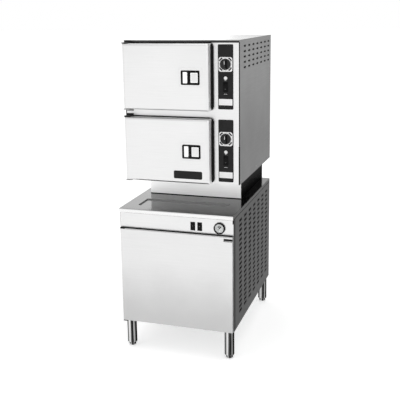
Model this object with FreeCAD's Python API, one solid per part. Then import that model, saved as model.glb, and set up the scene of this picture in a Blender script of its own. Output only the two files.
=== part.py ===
import FreeCAD, Part
import math
import os
from FreeCAD import Vector

# Two-compartment convection steamer on a cabinet base that holds its steam generator.
# Millimetres. X right, Y back, Z up. The origin is on the floor, at the middle of the width and depth.

# Overall sizes
cabinet_width = 609.6
cabinet_depth = 838.0
cabinet_height = 620.0
leg_height = 156.0
neck_height = 127.0
casing_height = 722.0
sheet = 1.5
running_gap = 0.3

# Cabinet base
base_door_thickness = 14.0
base_door_gap = 1.0
top_lip_overhang = 13.0
top_skirt_height = 22.0
top_recess_depth = 6.0
top_recess_side = 72.0
top_recess_front = 70.0
top_recess_back = 208.0
top_lip_radius = 7.0
fascia_height = 80.0
header_gap = 7.0
frame_leg = 30.0
frame_wall = 3.0
pan_lip = 20.0
base_door_side_gap = 3.8
base_door_bottom_gap = 2.0
finger_pull_width = 45.0
finger_pull_height = 16.0
finger_pull_below_top = 7.0
finger_pull_depth = 11.0
base_hinge_inset = 5.0
base_pin_radius = 4.0
base_pin_length = 15.0
base_bracket_thickness = 4.0
base_bracket_width = 26.0
base_bracket_tail = 9.0
base_bracket_gap = 1.0

# Legs and feet
leg_radius = 25.4
leg_inset_side = 32.0
leg_inset_front = 29.6
leg_inset_back = 34.4
foot_height = 20.0
foot_radius = 19.0
foot_bottom_radius = 15.0
foot_stud_radius = 8.0
foot_stud_length = 60.0
thread_clearance = 0.08

# Neck and upper casing
neck_inset_side = 45.8
neck_inset_back = 1.5
neck_setback = 200.0
neck_flange = 16.0
casing_overhang_back = 7.0
casing_setback = 125.0
casing_inset_side = 1.4
top_cap_height = 11.0
pipe_opening_inset = 20.0

# Louvres in the side panels
louvre_length = 46.0
louvre_height = 7.0
base_louvre_columns = 7
base_louvre_rows = 20
base_louvre_pitch_y = 101.4
base_louvre_pitch_z = 26.0
base_louvre_back = 70.0
base_louvre_top = 36.0
casing_vent_columns = 7
casing_vent_rows = 5
casing_vent_pitch_y = 91.7
casing_vent_pitch_z = 26.3
casing_vent_back = 47.0
casing_vent_top = 33.0

# Compartments and their doors
control_zone = 141.4
door_left_gap = 11.4
door_bottom_gap = 7.5
door_top_gap = 15.5
door_between_gap = 41.0
door_depth = 44.5
gasket_depth = 14.7
gasket_clear = 5.0
gasket_edge = 1.0
door_corner_radius = 12.0
door_inner_chamfer = 9.0
mouth_margin_side = 49.0
mouth_margin_top = 24.5
mouth_corner_radius = 20.0
compartment_back_space = 120.0
liner_field_inset = 26.0
liner_field_depth = 6.0

# Pan racks
rack_side_gap = 1.0
rack_post_width = 24.0
rack_post_inset = 60.0
rack_height = 220.0
rack_strip = 2.0
runner_count = 4
runner_pitch = 50.0
runner_width = 22.0

# Compartment door hinges
hinge_axis_inset = 8.0
hinge_axis_setback = 17.5
hinge_pin_radius = 5.0
hinge_pin_length = 16.0
hinge_bracket_thickness = 4.0
hinge_bracket_width = 36.0
hinge_bracket_left = 15.0
hinge_plate_gap = 0.5
hinge_heel_height = 12.0
hinge_boss_radius = 9.5
hinge_clearance = 0.08

# Door latch
latch_centre_from_right = 93.5
latch_width = 96.0
latch_height = 71.0
bezel_corner_radius = 6.0
bezel_stand = 3.0
bezel_cup_inset = 4.0
bezel_cup_depth = 20.5
bezel_wall = 2.0
bezel_mouth_width = 80.0
bezel_mouth_height = 58.0
paddle_axis_left = 7.0
paddle_axis_depth = 6.5
bezel_band_width = 12.0
paddle_barrel_radius = 4.0
paddle_pin_radius = 2.0
paddle_plate = 2.5
paddle_wide = 36.0
paddle_narrow = 21.5
paddle_side_gap = 9.5
paddle_wide_height = 48.0
paddle_narrow_height = 55.0
paddle_front_depth = 0.5
paddle_swing = 25.0
tongue_reach = 22.5
tongue_width = 10.0
tongue_thickness = 3.0
slide_height = 26.0
slide_thickness = 3.0
slide_left = 38.0
slide_notch = 8.0
stud_from_right = 24.0
stud_radius = 5.0
stud_length = 36.0
stud_side_room = 2.5
stud_catch_gap = 0.4
guide_width = 10.0
guide_wall = 2.0
guide_inset = 6.0

# Control strips
strip_width = 77.0
strip_height = 318.0
strip_thickness = 3.0
strip_corner_radius = 5.0
strip_from_right = 71.0
knob_height = 63.0
knob_radius = 27.0
knob_skirt = 5.0
knob_grip_width = 15.0
knob_grip_depth = 17.0
knob_gap = 1.0
knob_grip_inset = 3.0
knob_grip_slope = 4.0
timer_shaft_radius = 3.0
timer_shaft_length = 20.0
timer_bush_radius = 5.0
timer_body_width = 58.0
timer_body_depth = 46.0
lamp_height = -5.0
lamp_radius = 8.0
lamp_stand = 3.0
lamp_rim = 1.0
lamp_taper = 1.5
lamp_body_length = 24.0
rocker_height = -47.7
rocker_width = 25.2
rocker_tall = 49.2

# Rocker switches
rocker_rim = 1.8
rocker_rim_stand = 1.6
rocker_body_depth = 26.0
rocker_cavity = 14.0
rocker_tilt = 10.0
rocker_pivot_depth = 5.0
rocker_play = 0.5
rocker_nose = 1.0
rocker_pin_radius = 1.5
rocker_back = 4.0
rocker_back_slope = 3.0
base_rocker_width = 24.4
base_rocker_tall = 44.0
base_rocker_from_right = 212.8
base_rocker_pitch = 36.5
base_control_height = 34.0

# Pressure gauge
gauge_from_right = 72.8
gauge_radius = 29.0
gauge_can_radius = 25.5
gauge_stand = 8.0
gauge_can_depth = 26.0
gauge_wall = 1.5
gauge_dial_thickness = 1.0
gauge_lens_thickness = 2.0
gauge_lens_radius = 25.0
gauge_lens_play = 0.1
gauge_sill = 2.0
gauge_stem_radius = 6.0
gauge_stem_length = 18.0
dial_tube_radius = 3.0
needle_length = 18.0
needle_tail = 6.0
needle_width = 2.4
needle_thickness = 0.8
needle_hub_radius = 3.0
needle_shaft_radius = 1.0
needle_tip_width = 0.8
needle_stand = 2.5
needle_shaft_length = 10.0
needle_start = 225.0

# Steam generator
boiler_radius = 140.0
boiler_height = 390.0
boiler_floor_gap = 72.0
boiler_wall = 4.0
boiler_left = 90.0
boiler_rim = 6.0
boiler_foot_width = 40.0
boiler_foot_thickness = 8.0
boiler_port_width = 26.0
boiler_port_stand = 4.0
riser_from_back = 85.0
riser_boiler_offset = 110.0
riser_spread = 50.0
riser_radius = 11.0
inlet_below_centre = 15.0
flange_height = 100.0
flange_neck_radius = 60.0
flange_neck_length = 30.0
flange_radius = 78.0
flange_thickness = 12.0
element_radius = 5.0
element_reach = 200.0
element_width = 30.0
element_pitch = 34.0
terminal_cover_radius = 55.0
terminal_cover_length = 32.0
cock_low = 110.0
cock_rise = 200.0
cock_reach = 28.0
cock_radius = 9.0
cock_inlet_radius = 5.4
glass_radius = 6.0
cock_half_height = 10.8
relief_offset = 70.0
relief_radius = 14.0
relief_height = 48.0
relief_lever_length = 42.0
relief_lever_width = 12.0
relief_lever_thickness = 3.0
relief_pin_radius = 2.0
relief_pin_height = 8.0
relief_ear_thickness = 3.0
relief_ear_width = 12.0
relief_ear_height = 14.0
relief_outlet_radius = 8.4
relief_outlet_reach = 28.0
relief_knuckle_radius = 4.0

# Pipes and valves
stack_radius = 16.0
stack_left_of_mouth = 23.0
blowdown_above_floor = 104.5
drain_above_floor = 18.0
water_above_floor = 148.5
water_radius = 10.0
water_bend = 30.0
water_from_right = 94.8
valve_width = 44.0
valve_height = 34.0
coil_radius = 19.0
coil_length = 46.0
nipple_radius = 13.0

# Control box
control_box_width = 150.0
control_box_depth = 150.0
control_box_height = 300.0
control_box_side_gap = 14.0
control_box_front_gap = 40.0

# Places worked out from the sizes
half_width = cabinet_width / 2
overall_depth = cabinet_depth + base_door_thickness + base_door_gap + casing_overhang_back
front_y = -overall_depth / 2
fascia_y = front_y + base_door_thickness + base_door_gap
back_y = fascia_y + cabinet_depth
floor_z = leg_height
top_z = leg_height + cabinet_height
casing_z = top_z + neck_height
casing_top = casing_z + casing_height
casing_half = half_width - casing_inset_side
casing_front = fascia_y + casing_setback
casing_back = back_y + casing_overhang_back
face_back = casing_front + sheet
skirt_z = top_z - top_skirt_height
pan_top = floor_z + sheet
inner_half = half_width - sheet
inner_front = fascia_y + sheet
inner_back = back_y - sheet
fascia_z = skirt_z - fascia_height
door_face = casing_front - running_gap - gasket_depth
door_front = door_face - door_depth
door_left = -casing_half + door_left_gap
door_right = casing_half - control_zone
door_height = (casing_height - door_bottom_gap - door_top_gap - door_between_gap) / 2
door_pitch = door_height + door_between_gap
lower_door_z = casing_z + door_bottom_gap
levels = {"lower": lower_door_z, "upper": lower_door_z + door_pitch}
mouth_left = door_left + mouth_margin_side
mouth_right = door_right - mouth_margin_side
mouth_height = door_height - 2 * mouth_margin_top
compartment_back = casing_back - compartment_back_space
latch_x = door_right - latch_centre_from_right
paddle_x = latch_x - paddle_axis_left
paddle_y = door_front + paddle_axis_depth
stud_x = door_right - stud_from_right
slide_y = paddle_y + tongue_reach - slide_thickness
slide_travel = tongue_reach * math.sin(math.radians(paddle_swing)) * 0.95
hinge_x = door_left + hinge_axis_inset
hinge_y = door_front + hinge_axis_setback
strip_x = casing_half - strip_from_right
riser_y = casing_back - riser_from_back
boiler_x = -boiler_left
boiler_y = riser_y - riser_boiler_offset
boiler_z = pan_top + boiler_floor_gap
boiler_top = boiler_z + boiler_height
stack_x = mouth_right - stack_left_of_mouth
stack_foot = pan_top + blowdown_above_floor
water_height = pan_top + water_above_floor
water_x = half_width - water_from_right
gauge_x = half_width - gauge_from_right
base_control_z = fascia_z + base_control_height
base_hinge_x = -half_width + base_door_side_gap + base_hinge_inset
base_hinge_y = front_y + base_door_thickness / 2
base_door_z = floor_z + base_door_bottom_gap
base_door_top = fascia_z - header_gap

X = Vector(1, 0, 0)
Y = Vector(0, 1, 0)
Z = Vector(0, 0, 1)


def block(x0, x1, y0, y1, z0, z1):
    """A box between two corners."""
    return Part.makeBox(x1 - x0, y1 - y0, z1 - z0, Vector(x0, y0, z0))


def rod(x, y, z, radius, length, axis=Z):
    """A round bar that starts at a point and runs along an axis."""
    return Part.makeCylinder(radius, length, Vector(x, y, z), axis)


def cone(x, y, z, radius, end_radius, length, axis=Z):
    """A tapered round bar that starts at a point and runs along an axis."""
    return Part.makeCone(radius, end_radius, length, Vector(x, y, z), axis)


def joined(*shapes):
    """Several shapes fused into one solid, with leftover seams removed."""
    return shapes[0].multiFuse(list(shapes[1:])).removeSplitter()


def edges_along(shape, axis):
    """The straight edges that run along an axis."""
    return [e for e in shape.Edges if e.Length > 0 and abs(e.tangentAt(e.FirstParameter).dot(axis)) > 0.999]


def round_front(x0, x1, y0, y1, z0, z1, radius):
    """A box whose four corners, seen from the front, are rounded."""
    plate = block(x0, x1, y0, y1, z0, z1)
    return plate.makeFillet(radius, edges_along(plate, Y))


def prism(points, axis_vector):
    """A flat outline pushed along a vector."""
    return Part.Face(Part.makePolygon(points + points[:1])).extrude(axis_vector)


def louvred_panel(x0, y0, y1, z0, z1, last_y, first_z, columns, rows, pitch_y, pitch_z):
    """A side panel with rows of level slots, placed from its back and top."""
    panel = block(x0, x0 + sheet, y0, y1, z0, z1)
    slots = []
    for column in range(columns):
        slot_back = last_y - column * pitch_y
        for row in range(rows):
            slot_z = first_z - row * pitch_z
            slots.append(block(x0 - 1, x0 + sheet + 1, slot_back - louvre_length, slot_back,
                               slot_z - louvre_height / 2, slot_z + louvre_height / 2))
    return panel.cut(Part.makeCompound(slots))


def base_frame():
    """Corner posts and rails of steel angle that stand on the bottom pan."""
    top = top_z - sheet
    outer = block(-inner_half, inner_half, inner_front, inner_back, pan_top, top)
    wall = frame_wall
    hollow = block(-inner_half + wall, inner_half - wall, inner_front + wall, inner_back - wall,
                   pan_top - 1, top + 1)
    ring = outer.cut(hollow)
    side_window = block(-half_width, half_width, inner_front + frame_leg, inner_back - frame_leg,
                        pan_top + frame_leg, top - frame_leg)
    back_window = block(-inner_half + frame_leg, inner_half - frame_leg, 0, back_y + 1,
                        pan_top + frame_leg, top - frame_leg)
    # The front stays open above the pan, and above the header rail for the switches.
    header_low = fascia_z - frame_leg
    front_window = block(-inner_half + frame_leg, inner_half - frame_leg, front_y, 0, pan_top - 1,
                         header_low)
    switch_window = block(-inner_half + frame_leg, inner_half - frame_leg, front_y, 0,
                          fascia_z + wall, top + 1)
    return ring.cut(Part.makeCompound([side_window, back_window])).cut(
        Part.makeCompound([front_window, switch_window]))


def bottom_pan():
    """Floor of the cabinet, with its back and side edges turned up inside the frame."""
    inset = frame_wall
    plate = block(-inner_half, inner_half, inner_front, inner_back, floor_z, pan_top)
    lip = block(-inner_half + inset, inner_half - inset, inner_front + inset, inner_back - inset,
                floor_z, pan_top + pan_lip)
    well = block(-inner_half + inset + sheet, inner_half - inset - sheet, inner_front,
                 inner_back - inset - sheet,
                 pan_top, pan_top + pan_lip + 1)
    return joined(plate, lip.cut(well))


def cabinet_side(x0):
    """Louvred side of the cabinet, from the floor pan to the skirt of the top."""
    return louvred_panel(x0, fascia_y, back_y, floor_z, skirt_z, back_y - base_louvre_back,
                         skirt_z - base_louvre_top, base_louvre_columns, base_louvre_rows,
                         base_louvre_pitch_y, base_louvre_pitch_z)


def base_back_panel():
    """Back of the cabinet, with holes for the water nipple and the drain."""
    panel = block(-inner_half, inner_half, inner_back, back_y, floor_z, skirt_z)
    drain = rod(stack_x, inner_back - 1, stack_foot, stack_radius + running_gap, sheet + 2, Y)
    water = rod(water_x, inner_back - 1, water_height, nipple_radius + running_gap, sheet + 2, Y)
    return panel.cut(drain).cut(water)


def base_top():
    """Top plate: rolled front lip, skirts on all sides, a shallow recess and the opening under the neck."""
    lip_y = fascia_y - top_lip_overhang
    outer = block(-half_width, half_width, lip_y, back_y, skirt_z, top_z)
    front_edges = [e for e in edges_along(outer, X) if e.CenterOfMass.y < lip_y + 1]
    outer = outer.makeFillet(top_lip_radius, front_edges)
    inner = block(-inner_half, inner_half, fascia_y, inner_back, skirt_z - 1, top_z - sheet)
    lip_hollow = block(-inner_half, inner_half, lip_y + top_lip_radius, fascia_y,
                       skirt_z + sheet, top_z - sheet)
    recess_back = top_recess_back + fascia_y
    well = round_front_down(-half_width + top_recess_side, half_width - top_recess_side,
                            fascia_y + top_recess_front, recess_back, top_z - top_recess_depth)
    under = block(-half_width + top_recess_side - sheet, half_width - top_recess_side + sheet,
                  fascia_y + top_recess_front - sheet, recess_back + sheet,
                  top_z - top_recess_depth - sheet, top_z - sheet)
    opening = block(*pipe_opening(), top_z - sheet - 1, top_z + 1)
    return joined(outer.cut(inner).cut(lip_hollow), under).cut(well).cut(opening)


def round_front_down(x0, x1, y0, y1, z0):
    """A shallow well with rounded corners, open at the top."""
    well = block(x0, x1, y0, y1, z0, top_z + 1)
    return well.makeFillet(mouth_corner_radius / 2, edges_along(well, Z))


def neck_box():
    """Outer sides of the neck."""
    half = half_width - neck_inset_side
    return -half, half, casing_front + neck_setback, back_y - neck_inset_back


def pipe_opening():
    """The opening for pipes through the neck's ends."""
    x0, x1, y0, y1 = neck_box()
    inset = pipe_opening_inset
    return x0 + inset, x1 - inset, y0 + inset, y1 - inset


def neck_shell():
    """Sheet duct between the cabinet top and the upper casing, with its ends turned in as flanges."""
    x0, x1, y0, y1 = neck_box()
    outer = block(x0, x1, y0, y1, top_z, casing_z)
    inner = block(x0 + sheet, x1 - sheet, y0 + sheet, y1 - sheet, top_z + sheet, casing_z - sheet)
    inset = neck_flange
    through = block(x0 + inset, x1 - inset, y0 + inset, y1 - inset, top_z - 1, casing_z + 1)
    return outer.cut(inner).cut(through)


def fascia_panel():
    """Front switch panel of the cabinet, with its lower edge folded back over the header rail."""
    face = block(-inner_half, inner_half, fascia_y, inner_front, fascia_z, skirt_z)
    fold = block(-inner_half + frame_leg, inner_half - frame_leg, inner_front, inner_front + frame_wall,
                 fascia_z + frame_wall, fascia_z + frame_wall + sheet)
    panel = joined(face, fold)
    for x in base_rocker_places():
        panel = panel.cut(rocker_hole(x, base_control_z, base_rocker_width, base_rocker_tall, fascia_y))
    return panel.cut(rod(gauge_x, fascia_y - 1, base_control_z, gauge_can_radius + running_gap,
                         frame_leg, Y))


def base_rocker_places():
    """Centres of the two rocker switches of the cabinet."""
    first = half_width - base_rocker_from_right
    return first, first + base_rocker_pitch


def legs():
    """Four legs welded under the bottom pan, each with a threaded bore for its foot."""
    made = []
    for x, y in leg_places():
        tube = rod(x, y, foot_height, leg_radius, floor_z - foot_height)
        bore = rod(x, y, foot_height - 1, foot_stud_radius + thread_clearance, foot_stud_length + 3)
        made.append(tube.cut(bore))
    return made


def leg_places():
    """Leg centres, front pair first."""
    x = half_width - leg_inset_side
    front = fascia_y + leg_inset_front
    back = back_y - leg_inset_back
    return (-x, front), (x, front), (-x, back), (x, back)


def foot(x, y):
    """Bullet foot with its threaded stud."""
    bullet = cone(x, y, 0, foot_bottom_radius, foot_radius, foot_height)
    stud = rod(x, y, foot_height - 1, foot_stud_radius, foot_stud_length)
    return joined(bullet, stud)


def base_door():
    """Cabinet door: a folded pan with a finger pull and bores for its pivot pins."""
    x0 = -half_width + base_door_side_gap
    x1 = half_width - base_door_side_gap
    y1 = front_y + base_door_thickness
    outer = block(x0, x1, front_y, y1, base_door_z, base_door_top)
    inner = block(x0 + sheet, x1 - sheet, front_y + sheet, y1 - sheet, base_door_z + sheet,
                  base_door_top - sheet)
    pull_top = base_door_top - finger_pull_below_top
    pull = block(x1 - finger_pull_width, x1 + 1, front_y - 1, front_y + finger_pull_depth,
                 pull_top - finger_pull_height, pull_top)
    pocket = block(x1 - finger_pull_width - sheet, x1, front_y, front_y + finger_pull_depth + sheet,
                   pull_top - finger_pull_height - sheet, pull_top + sheet)
    deep = base_pin_length + 2
    boss = block(x0, x0 + 2 * base_hinge_inset, front_y, y1, base_door_z, base_door_z + deep)
    top_boss = block(x0, x0 + 2 * base_hinge_inset, front_y, y1, base_door_top - deep, base_door_top)
    bore = rod(base_hinge_x, base_hinge_y, base_door_z - 1, base_pin_radius + hinge_clearance, deep)
    top_bore = rod(base_hinge_x, base_hinge_y, base_door_top - deep + 1, base_pin_radius + hinge_clearance,
                   deep)
    return joined(outer.cut(inner), pocket, boss, top_boss).cut(pull).cut(bore).cut(top_bore)


def base_door_brackets():
    """Plates with upright pins that carry the cabinet door at its left edge, below and above."""
    x0 = -inner_half
    x1 = x0 + base_bracket_width
    y0 = base_hinge_y - base_pin_radius - 1
    thick = base_bracket_thickness
    low = block(x0, x1, y0, inner_front, floor_z - thick, floor_z)
    tail = block(x0, x0 + base_bracket_tail, inner_front, inner_front + base_bracket_tail, floor_z - thick,
                 floor_z)
    low_pin = rod(base_hinge_x, base_hinge_y, floor_z - 1, base_pin_radius, base_pin_length)
    plate_z = base_door_top + base_bracket_gap
    high = block(x0, x1, y0, inner_front, plate_z, plate_z + thick)
    high_pin = rod(base_hinge_x, base_hinge_y, plate_z + 1 - base_pin_length, base_pin_radius,
                   base_pin_length)
    return [joined(low, tail, low_pin), joined(high, high_pin)]


def casing_side(x0):
    """Vented side of the upper casing."""
    return louvred_panel(x0, casing_front, casing_back, casing_z, casing_top, casing_back - casing_vent_back,
                         casing_top - casing_vent_top, casing_vent_columns, casing_vent_rows,
                         casing_vent_pitch_y, casing_vent_pitch_z)


def upper_top_panel():
    """Top of the casing, with its front and back edges folded down."""
    half = casing_half - sheet
    outer = block(-half, half, casing_front, casing_back, casing_top - top_cap_height, casing_top)
    inner = block(-half - 1, half + 1, face_back, casing_back - sheet, casing_top - top_cap_height - 1,
                  casing_top - sheet)
    return outer.cut(inner)


def upper_bottom_panel():
    """Bottom of the casing, with the pipe opening over the neck."""
    half = casing_half - sheet
    plate = block(-half, half, face_back, casing_back - sheet, casing_z, casing_z + sheet)
    return plate.cut(block(*pipe_opening(), casing_z - 1, casing_z + sheet + 1))


def upper_back_panel():
    """Back of the casing, under the folded edge of the top."""
    half = casing_half - sheet
    return block(-half, half, casing_back - sheet, casing_back, casing_z, casing_top - top_cap_height)


def mouth(z0, y0, y1, grow=0.0):
    """The rounded opening of a compartment, grown evenly by an amount."""
    low = z0 + mouth_margin_top
    return round_front(mouth_left - grow, mouth_right + grow, y0, y1, low - grow, low + mouth_height + grow,
                       mouth_corner_radius + grow)


def face_frame():
    """Front sheet round both compartments, with strike studs for the door latches."""
    half = casing_half - sheet
    face = block(-half, half, casing_front, face_back, casing_z, casing_top - top_cap_height)
    studs = []
    for z0 in levels.values():
        face = face.cut(mouth(z0, casing_front - 1, face_back + 1))
        centre = z0 + door_height / 2
        face = face.cut(rod(strip_x, casing_front - 1, centre + knob_height, timer_bush_radius + 1,
                            sheet + 2, Y))
        face = face.cut(rod(strip_x, casing_front - 1, centre + lamp_height, lamp_radius + running_gap,
                            sheet + 2, Y))
        face = face.cut(rocker_hole(strip_x, centre + rocker_height, rocker_width, rocker_tall,
                                    casing_front))
        studs.append(rod(stud_x, casing_front - stud_length, centre, stud_radius, stud_length, Y))
    return joined(face, *studs)


def compartment(z0):
    """Cooking compartment: welded liner, open at the front, with steam inlet and drain holes at the back."""
    outer = mouth(z0, face_back, compartment_back + sheet, sheet)
    inner = mouth(z0, face_back - 1, compartment_back)
    liner = outer.cut(inner)
    inlet = rod(riser_x(z0), compartment_back - 1, inlet_z(z0), riser_radius, sheet + 2, Y)
    drain = rod(stack_x, compartment_back - 1, drain_z(z0), stack_radius - 2, sheet + 2, Y)
    return liner.cut(inlet).cut(drain)


def riser_x(z0):
    """Steam riser of a compartment: left for the lower one, right for the upper one."""
    side = -1 if z0 == levels["lower"] else 1
    return boiler_x + side * riser_spread


def inlet_z(z0):
    """Height of a compartment's steam inlet."""
    return z0 + door_height / 2 - inlet_below_centre


def drain_z(z0):
    """Height of a compartment's drain."""
    return z0 + mouth_margin_top + drain_above_floor


def pan_rack(z0, side):
    """Lift-out rack for one wall of a compartment: two posts, a row of runners and two feet, spot welded."""
    wall = mouth_left if side < 0 else mouth_right
    x_wall = wall - side * rack_side_gap
    x_post = x_wall - side * rack_strip
    x_tip = x_wall - side * runner_width
    x_foot = x_tip + side * rack_strip
    low = z0 + mouth_margin_top
    rise = low + mouth_corner_radius
    front = face_back + rack_post_inset
    back = compartment_back - rack_post_inset
    half = rack_post_width / 2
    # The posts start above the coved corner. The feet stand on the flat floor, under the runners' tips.
    parts = []
    for y in (front, back):
        parts.append(block(min(x_wall, x_post), max(x_wall, x_post), y - half, y + half, rise,
                           low + rack_height))
        parts.append(block(min(x_foot, x_tip), max(x_foot, x_tip), y - half, y + half, low, rise))
    for number in range(runner_count):
        z = rise + number * runner_pitch
        parts.append(block(min(x_post, x_tip), max(x_post, x_tip), front - rack_post_width,
                           back + rack_post_width, z, z + rack_strip))
    return parts


def door_skin(z0):
    """Outer skin of a compartment door: a deep pan with rounded edges, a latch opening and hinge bores."""
    z1 = z0 + door_height
    outer = block(door_left, door_right, door_front, door_face, z0, z1)
    rounded = [e for e in outer.Edges if e.CenterOfMass.y < door_front + 1]
    outer = outer.makeFillet(door_corner_radius, rounded)
    inner = block(door_left + sheet, door_right - sheet, door_front + sheet, door_face + 1,
                  z0 + sheet, z1 - sheet)
    cut_edges = [e for e in inner.Edges if e.CenterOfMass.y < door_front + sheet + 1]
    inner = inner.makeChamfer(door_inner_chamfer, cut_edges)
    skin = outer.cut(inner)
    bosses = []
    depth = hinge_pin_length + 2
    for z in (z0, z1 - depth):
        bosses.append(rod(hinge_x, hinge_y, z, hinge_boss_radius, depth))
    shell_box = block(door_left, door_right, door_front, door_face, z0, z1)
    corner = Part.makeCompound(bosses).common(outer)
    skin = skin.fuse(corner.common(shell_box)).removeSplitter()
    for z in (z0 - 1, z1 - depth):
        skin = skin.cut(rod(hinge_x, hinge_y, z, hinge_pin_radius + hinge_clearance, depth + 1))
    centre = z0 + door_height / 2
    width = latch_width / 2 - bezel_cup_inset + running_gap
    height = latch_height / 2 - bezel_cup_inset + running_gap
    return skin.cut(block(latch_x - width, latch_x + width, door_front - 1, door_front + sheet + 1,
                          centre - height, centre + height))


def door_liner(z0):
    """Inner sheet of a door, with a raised field that stands in the mouth and guides for the latch plate."""
    z1 = z0 + door_height
    centre = z0 + door_height / 2
    plate = block(door_left + sheet, door_right - sheet, door_face - sheet, door_face, z0 + sheet,
                  z1 - sheet)
    left = mouth_left + liner_field_inset
    right = mouth_right - liner_field_inset
    low = z0 + mouth_margin_top + liner_field_inset
    high = z1 - mouth_margin_top - liner_field_inset
    field = block(left, right, door_face - sheet, door_face + liner_field_depth, low, high)
    hollow = block(left + sheet, right - sheet, door_face - sheet - 1, door_face + liner_field_depth - sheet,
                   low + sheet, high - sheet)
    liner = joined(plate, field).cut(hollow)
    hole = rod(stud_x, door_face - sheet - 1, centre, stud_radius + stud_side_room, sheet + 2, Y)
    field_seat = door_face + liner_field_depth - sheet
    plate_seat = door_face - sheet
    near_paddle = latch_guide(slide_x0() + guide_inset, field_seat, centre)
    near_stud = latch_guide(stud_x - stud_radius - slide_travel - guide_width - slide_notch, plate_seat,
                            centre)
    return joined(liner, near_paddle, near_stud).cut(hole)


def latch_guide(x, seat_y, centre):
    """A staple on the liner that carries the latch plate."""
    half = slide_height / 2 + running_gap
    y0 = slide_y - running_gap - guide_wall
    staple = block(x, x + guide_width, y0, seat_y, centre - half - guide_wall, centre + half + guide_wall)
    room = block(x - 1, x + guide_width + 1, y0 + guide_wall, slide_y + slide_thickness + running_gap,
                 centre - half, centre + half)
    under = block(x - 1, x + guide_width + 1, slide_y, seat_y + 1,
                  centre - half + guide_wall, centre + half - guide_wall)
    return staple.cut(room).cut(under)


def slide_x0():
    """Left end of the latch plate at rest."""
    return latch_x - slide_left


def latch_slide(z0):
    """Latch plate inside the door: a notch for the paddle's tongue and a keyhole for the strike stud."""
    centre = z0 + door_height / 2
    x1 = stud_x + stud_radius + slide_notch
    plate = block(slide_x0(), x1, slide_y, slide_y + slide_thickness, centre - slide_height / 2,
                  centre + slide_height / 2)
    notch = block(paddle_x - slide_notch / 2 - 0.5, paddle_x + slide_notch / 2 + 0.5, slide_y - 1,
                  slide_y + slide_thickness + 1, centre - tongue_width / 2 - 1,
                  centre + tongue_width / 2 + 1)
    half = stud_radius + stud_catch_gap
    slot = block(stud_x - slide_travel, stud_x + stud_radius + stud_side_room, slide_y - 1,
                 slide_y + slide_thickness + 1, centre - half, centre + half)
    keyhole = rod(stud_x - slide_travel, slide_y - 1, centre, stud_radius + stud_side_room,
                  slide_thickness + 2, Y)
    return plate.cut(notch).cut(joined(slot, keyhole))


def latch_bezel(z0):
    """Moulded bezel and cup of a door latch, with a band over the paddle's pivot."""
    centre = z0 + door_height / 2
    half_w = latch_width / 2
    half_h = latch_height / 2
    flange_back = door_front
    flange = round_front(latch_x - half_w, latch_x + half_w, door_front - bezel_stand, flange_back,
                         centre - half_h, centre + half_h, bezel_corner_radius)
    cup_w = half_w - bezel_cup_inset
    cup_h = half_h - bezel_cup_inset
    cup_back = door_front + bezel_cup_depth
    cup = block(latch_x - cup_w, latch_x + cup_w, flange_back - 1, cup_back, centre - cup_h, centre + cup_h)
    well = block(latch_x - cup_w + bezel_wall, latch_x + cup_w - bezel_wall, flange_back,
                 cup_back - bezel_wall, centre - cup_h + bezel_wall, centre + cup_h - bezel_wall)
    opening = block(latch_x - bezel_mouth_width / 2, latch_x + bezel_mouth_width / 2,
                    door_front - bezel_stand - 1, flange_back + 1,
                    centre - bezel_mouth_height / 2, centre + bezel_mouth_height / 2)
    band = block(paddle_x - bezel_band_width / 2, paddle_x + bezel_band_width / 2, door_front - bezel_stand,
                 door_front - bezel_stand + paddle_plate, centre - half_h + 1, centre + half_h - 1)
    pin_bore = rod(paddle_x, paddle_y, centre - cup_h, paddle_pin_radius + hinge_clearance, 2 * cup_h)
    tongue_slot = block(paddle_x - 3, paddle_x + tongue_reach / 2 + 3, cup_back - bezel_wall - 1,
                        cup_back + 1,
                        centre - tongue_width / 2 - 1, centre + tongue_width / 2 + 1)
    bezel = joined(flange, cup).cut(well).cut(opening)
    return joined(bezel, band).cut(pin_bore).cut(tongue_slot)


def latch_paddle(z0):
    """Paddle of a door latch: a wide and a narrow wing on a barrel, and a tongue that drives the plate."""
    centre = z0 + door_height / 2
    front = door_front - paddle_front_depth
    back = front + paddle_plate
    x_wide = paddle_x + paddle_side_gap
    x_narrow = paddle_x - paddle_side_gap
    wide_half = paddle_wide_height / 2
    narrow_half = paddle_narrow_height / 2
    wide = block(x_wide, x_wide + paddle_wide, front, back, centre - wide_half, centre + wide_half)
    narrow = block(x_narrow - paddle_narrow, x_narrow, front, back, centre - narrow_half,
                   centre + narrow_half)
    web_y0 = paddle_y - paddle_plate / 2
    web = block(x_narrow - paddle_plate, x_wide + paddle_plate, web_y0, web_y0 + paddle_plate,
                centre - wide_half, centre + wide_half)
    riser_left = block(x_narrow - paddle_plate, x_narrow, front, web_y0 + paddle_plate,
                       centre - wide_half, centre + wide_half)
    riser_right = block(x_wide, x_wide + paddle_plate, front, web_y0 + paddle_plate,
                        centre - wide_half, centre + wide_half)
    cup_h = latch_height / 2 - bezel_cup_inset
    barrel = rod(paddle_x, paddle_y, centre - wide_half, paddle_barrel_radius, paddle_wide_height)
    pin = rod(paddle_x, paddle_y, centre - cup_h + 0.2, paddle_pin_radius, 2 * cup_h - 0.4)
    tongue = block(paddle_x - tongue_thickness / 2, paddle_x + tongue_thickness / 2, paddle_y,
                   paddle_y + tongue_reach, centre - tongue_width / 2, centre + tongue_width / 2)
    return joined(wide, narrow, web, riser_left, riser_right, barrel, pin, tongue)


def door_gasket(z0):
    """Moulded gasket on the back of a door, round the mouth, with a hole for the strike stud."""
    z1 = z0 + door_height
    centre = z0 + door_height / 2
    outer = round_front(hinge_x, door_right, door_face, door_face + gasket_depth, z0 + gasket_edge,
                        z1 - gasket_edge, mouth_corner_radius)
    ring = outer.cut(mouth(z0, door_face - 1, casing_front, gasket_clear))
    return ring.cut(rod(stud_x, door_face - 1, centre, stud_radius + stud_side_room, gasket_depth + 2, Y))


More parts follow.
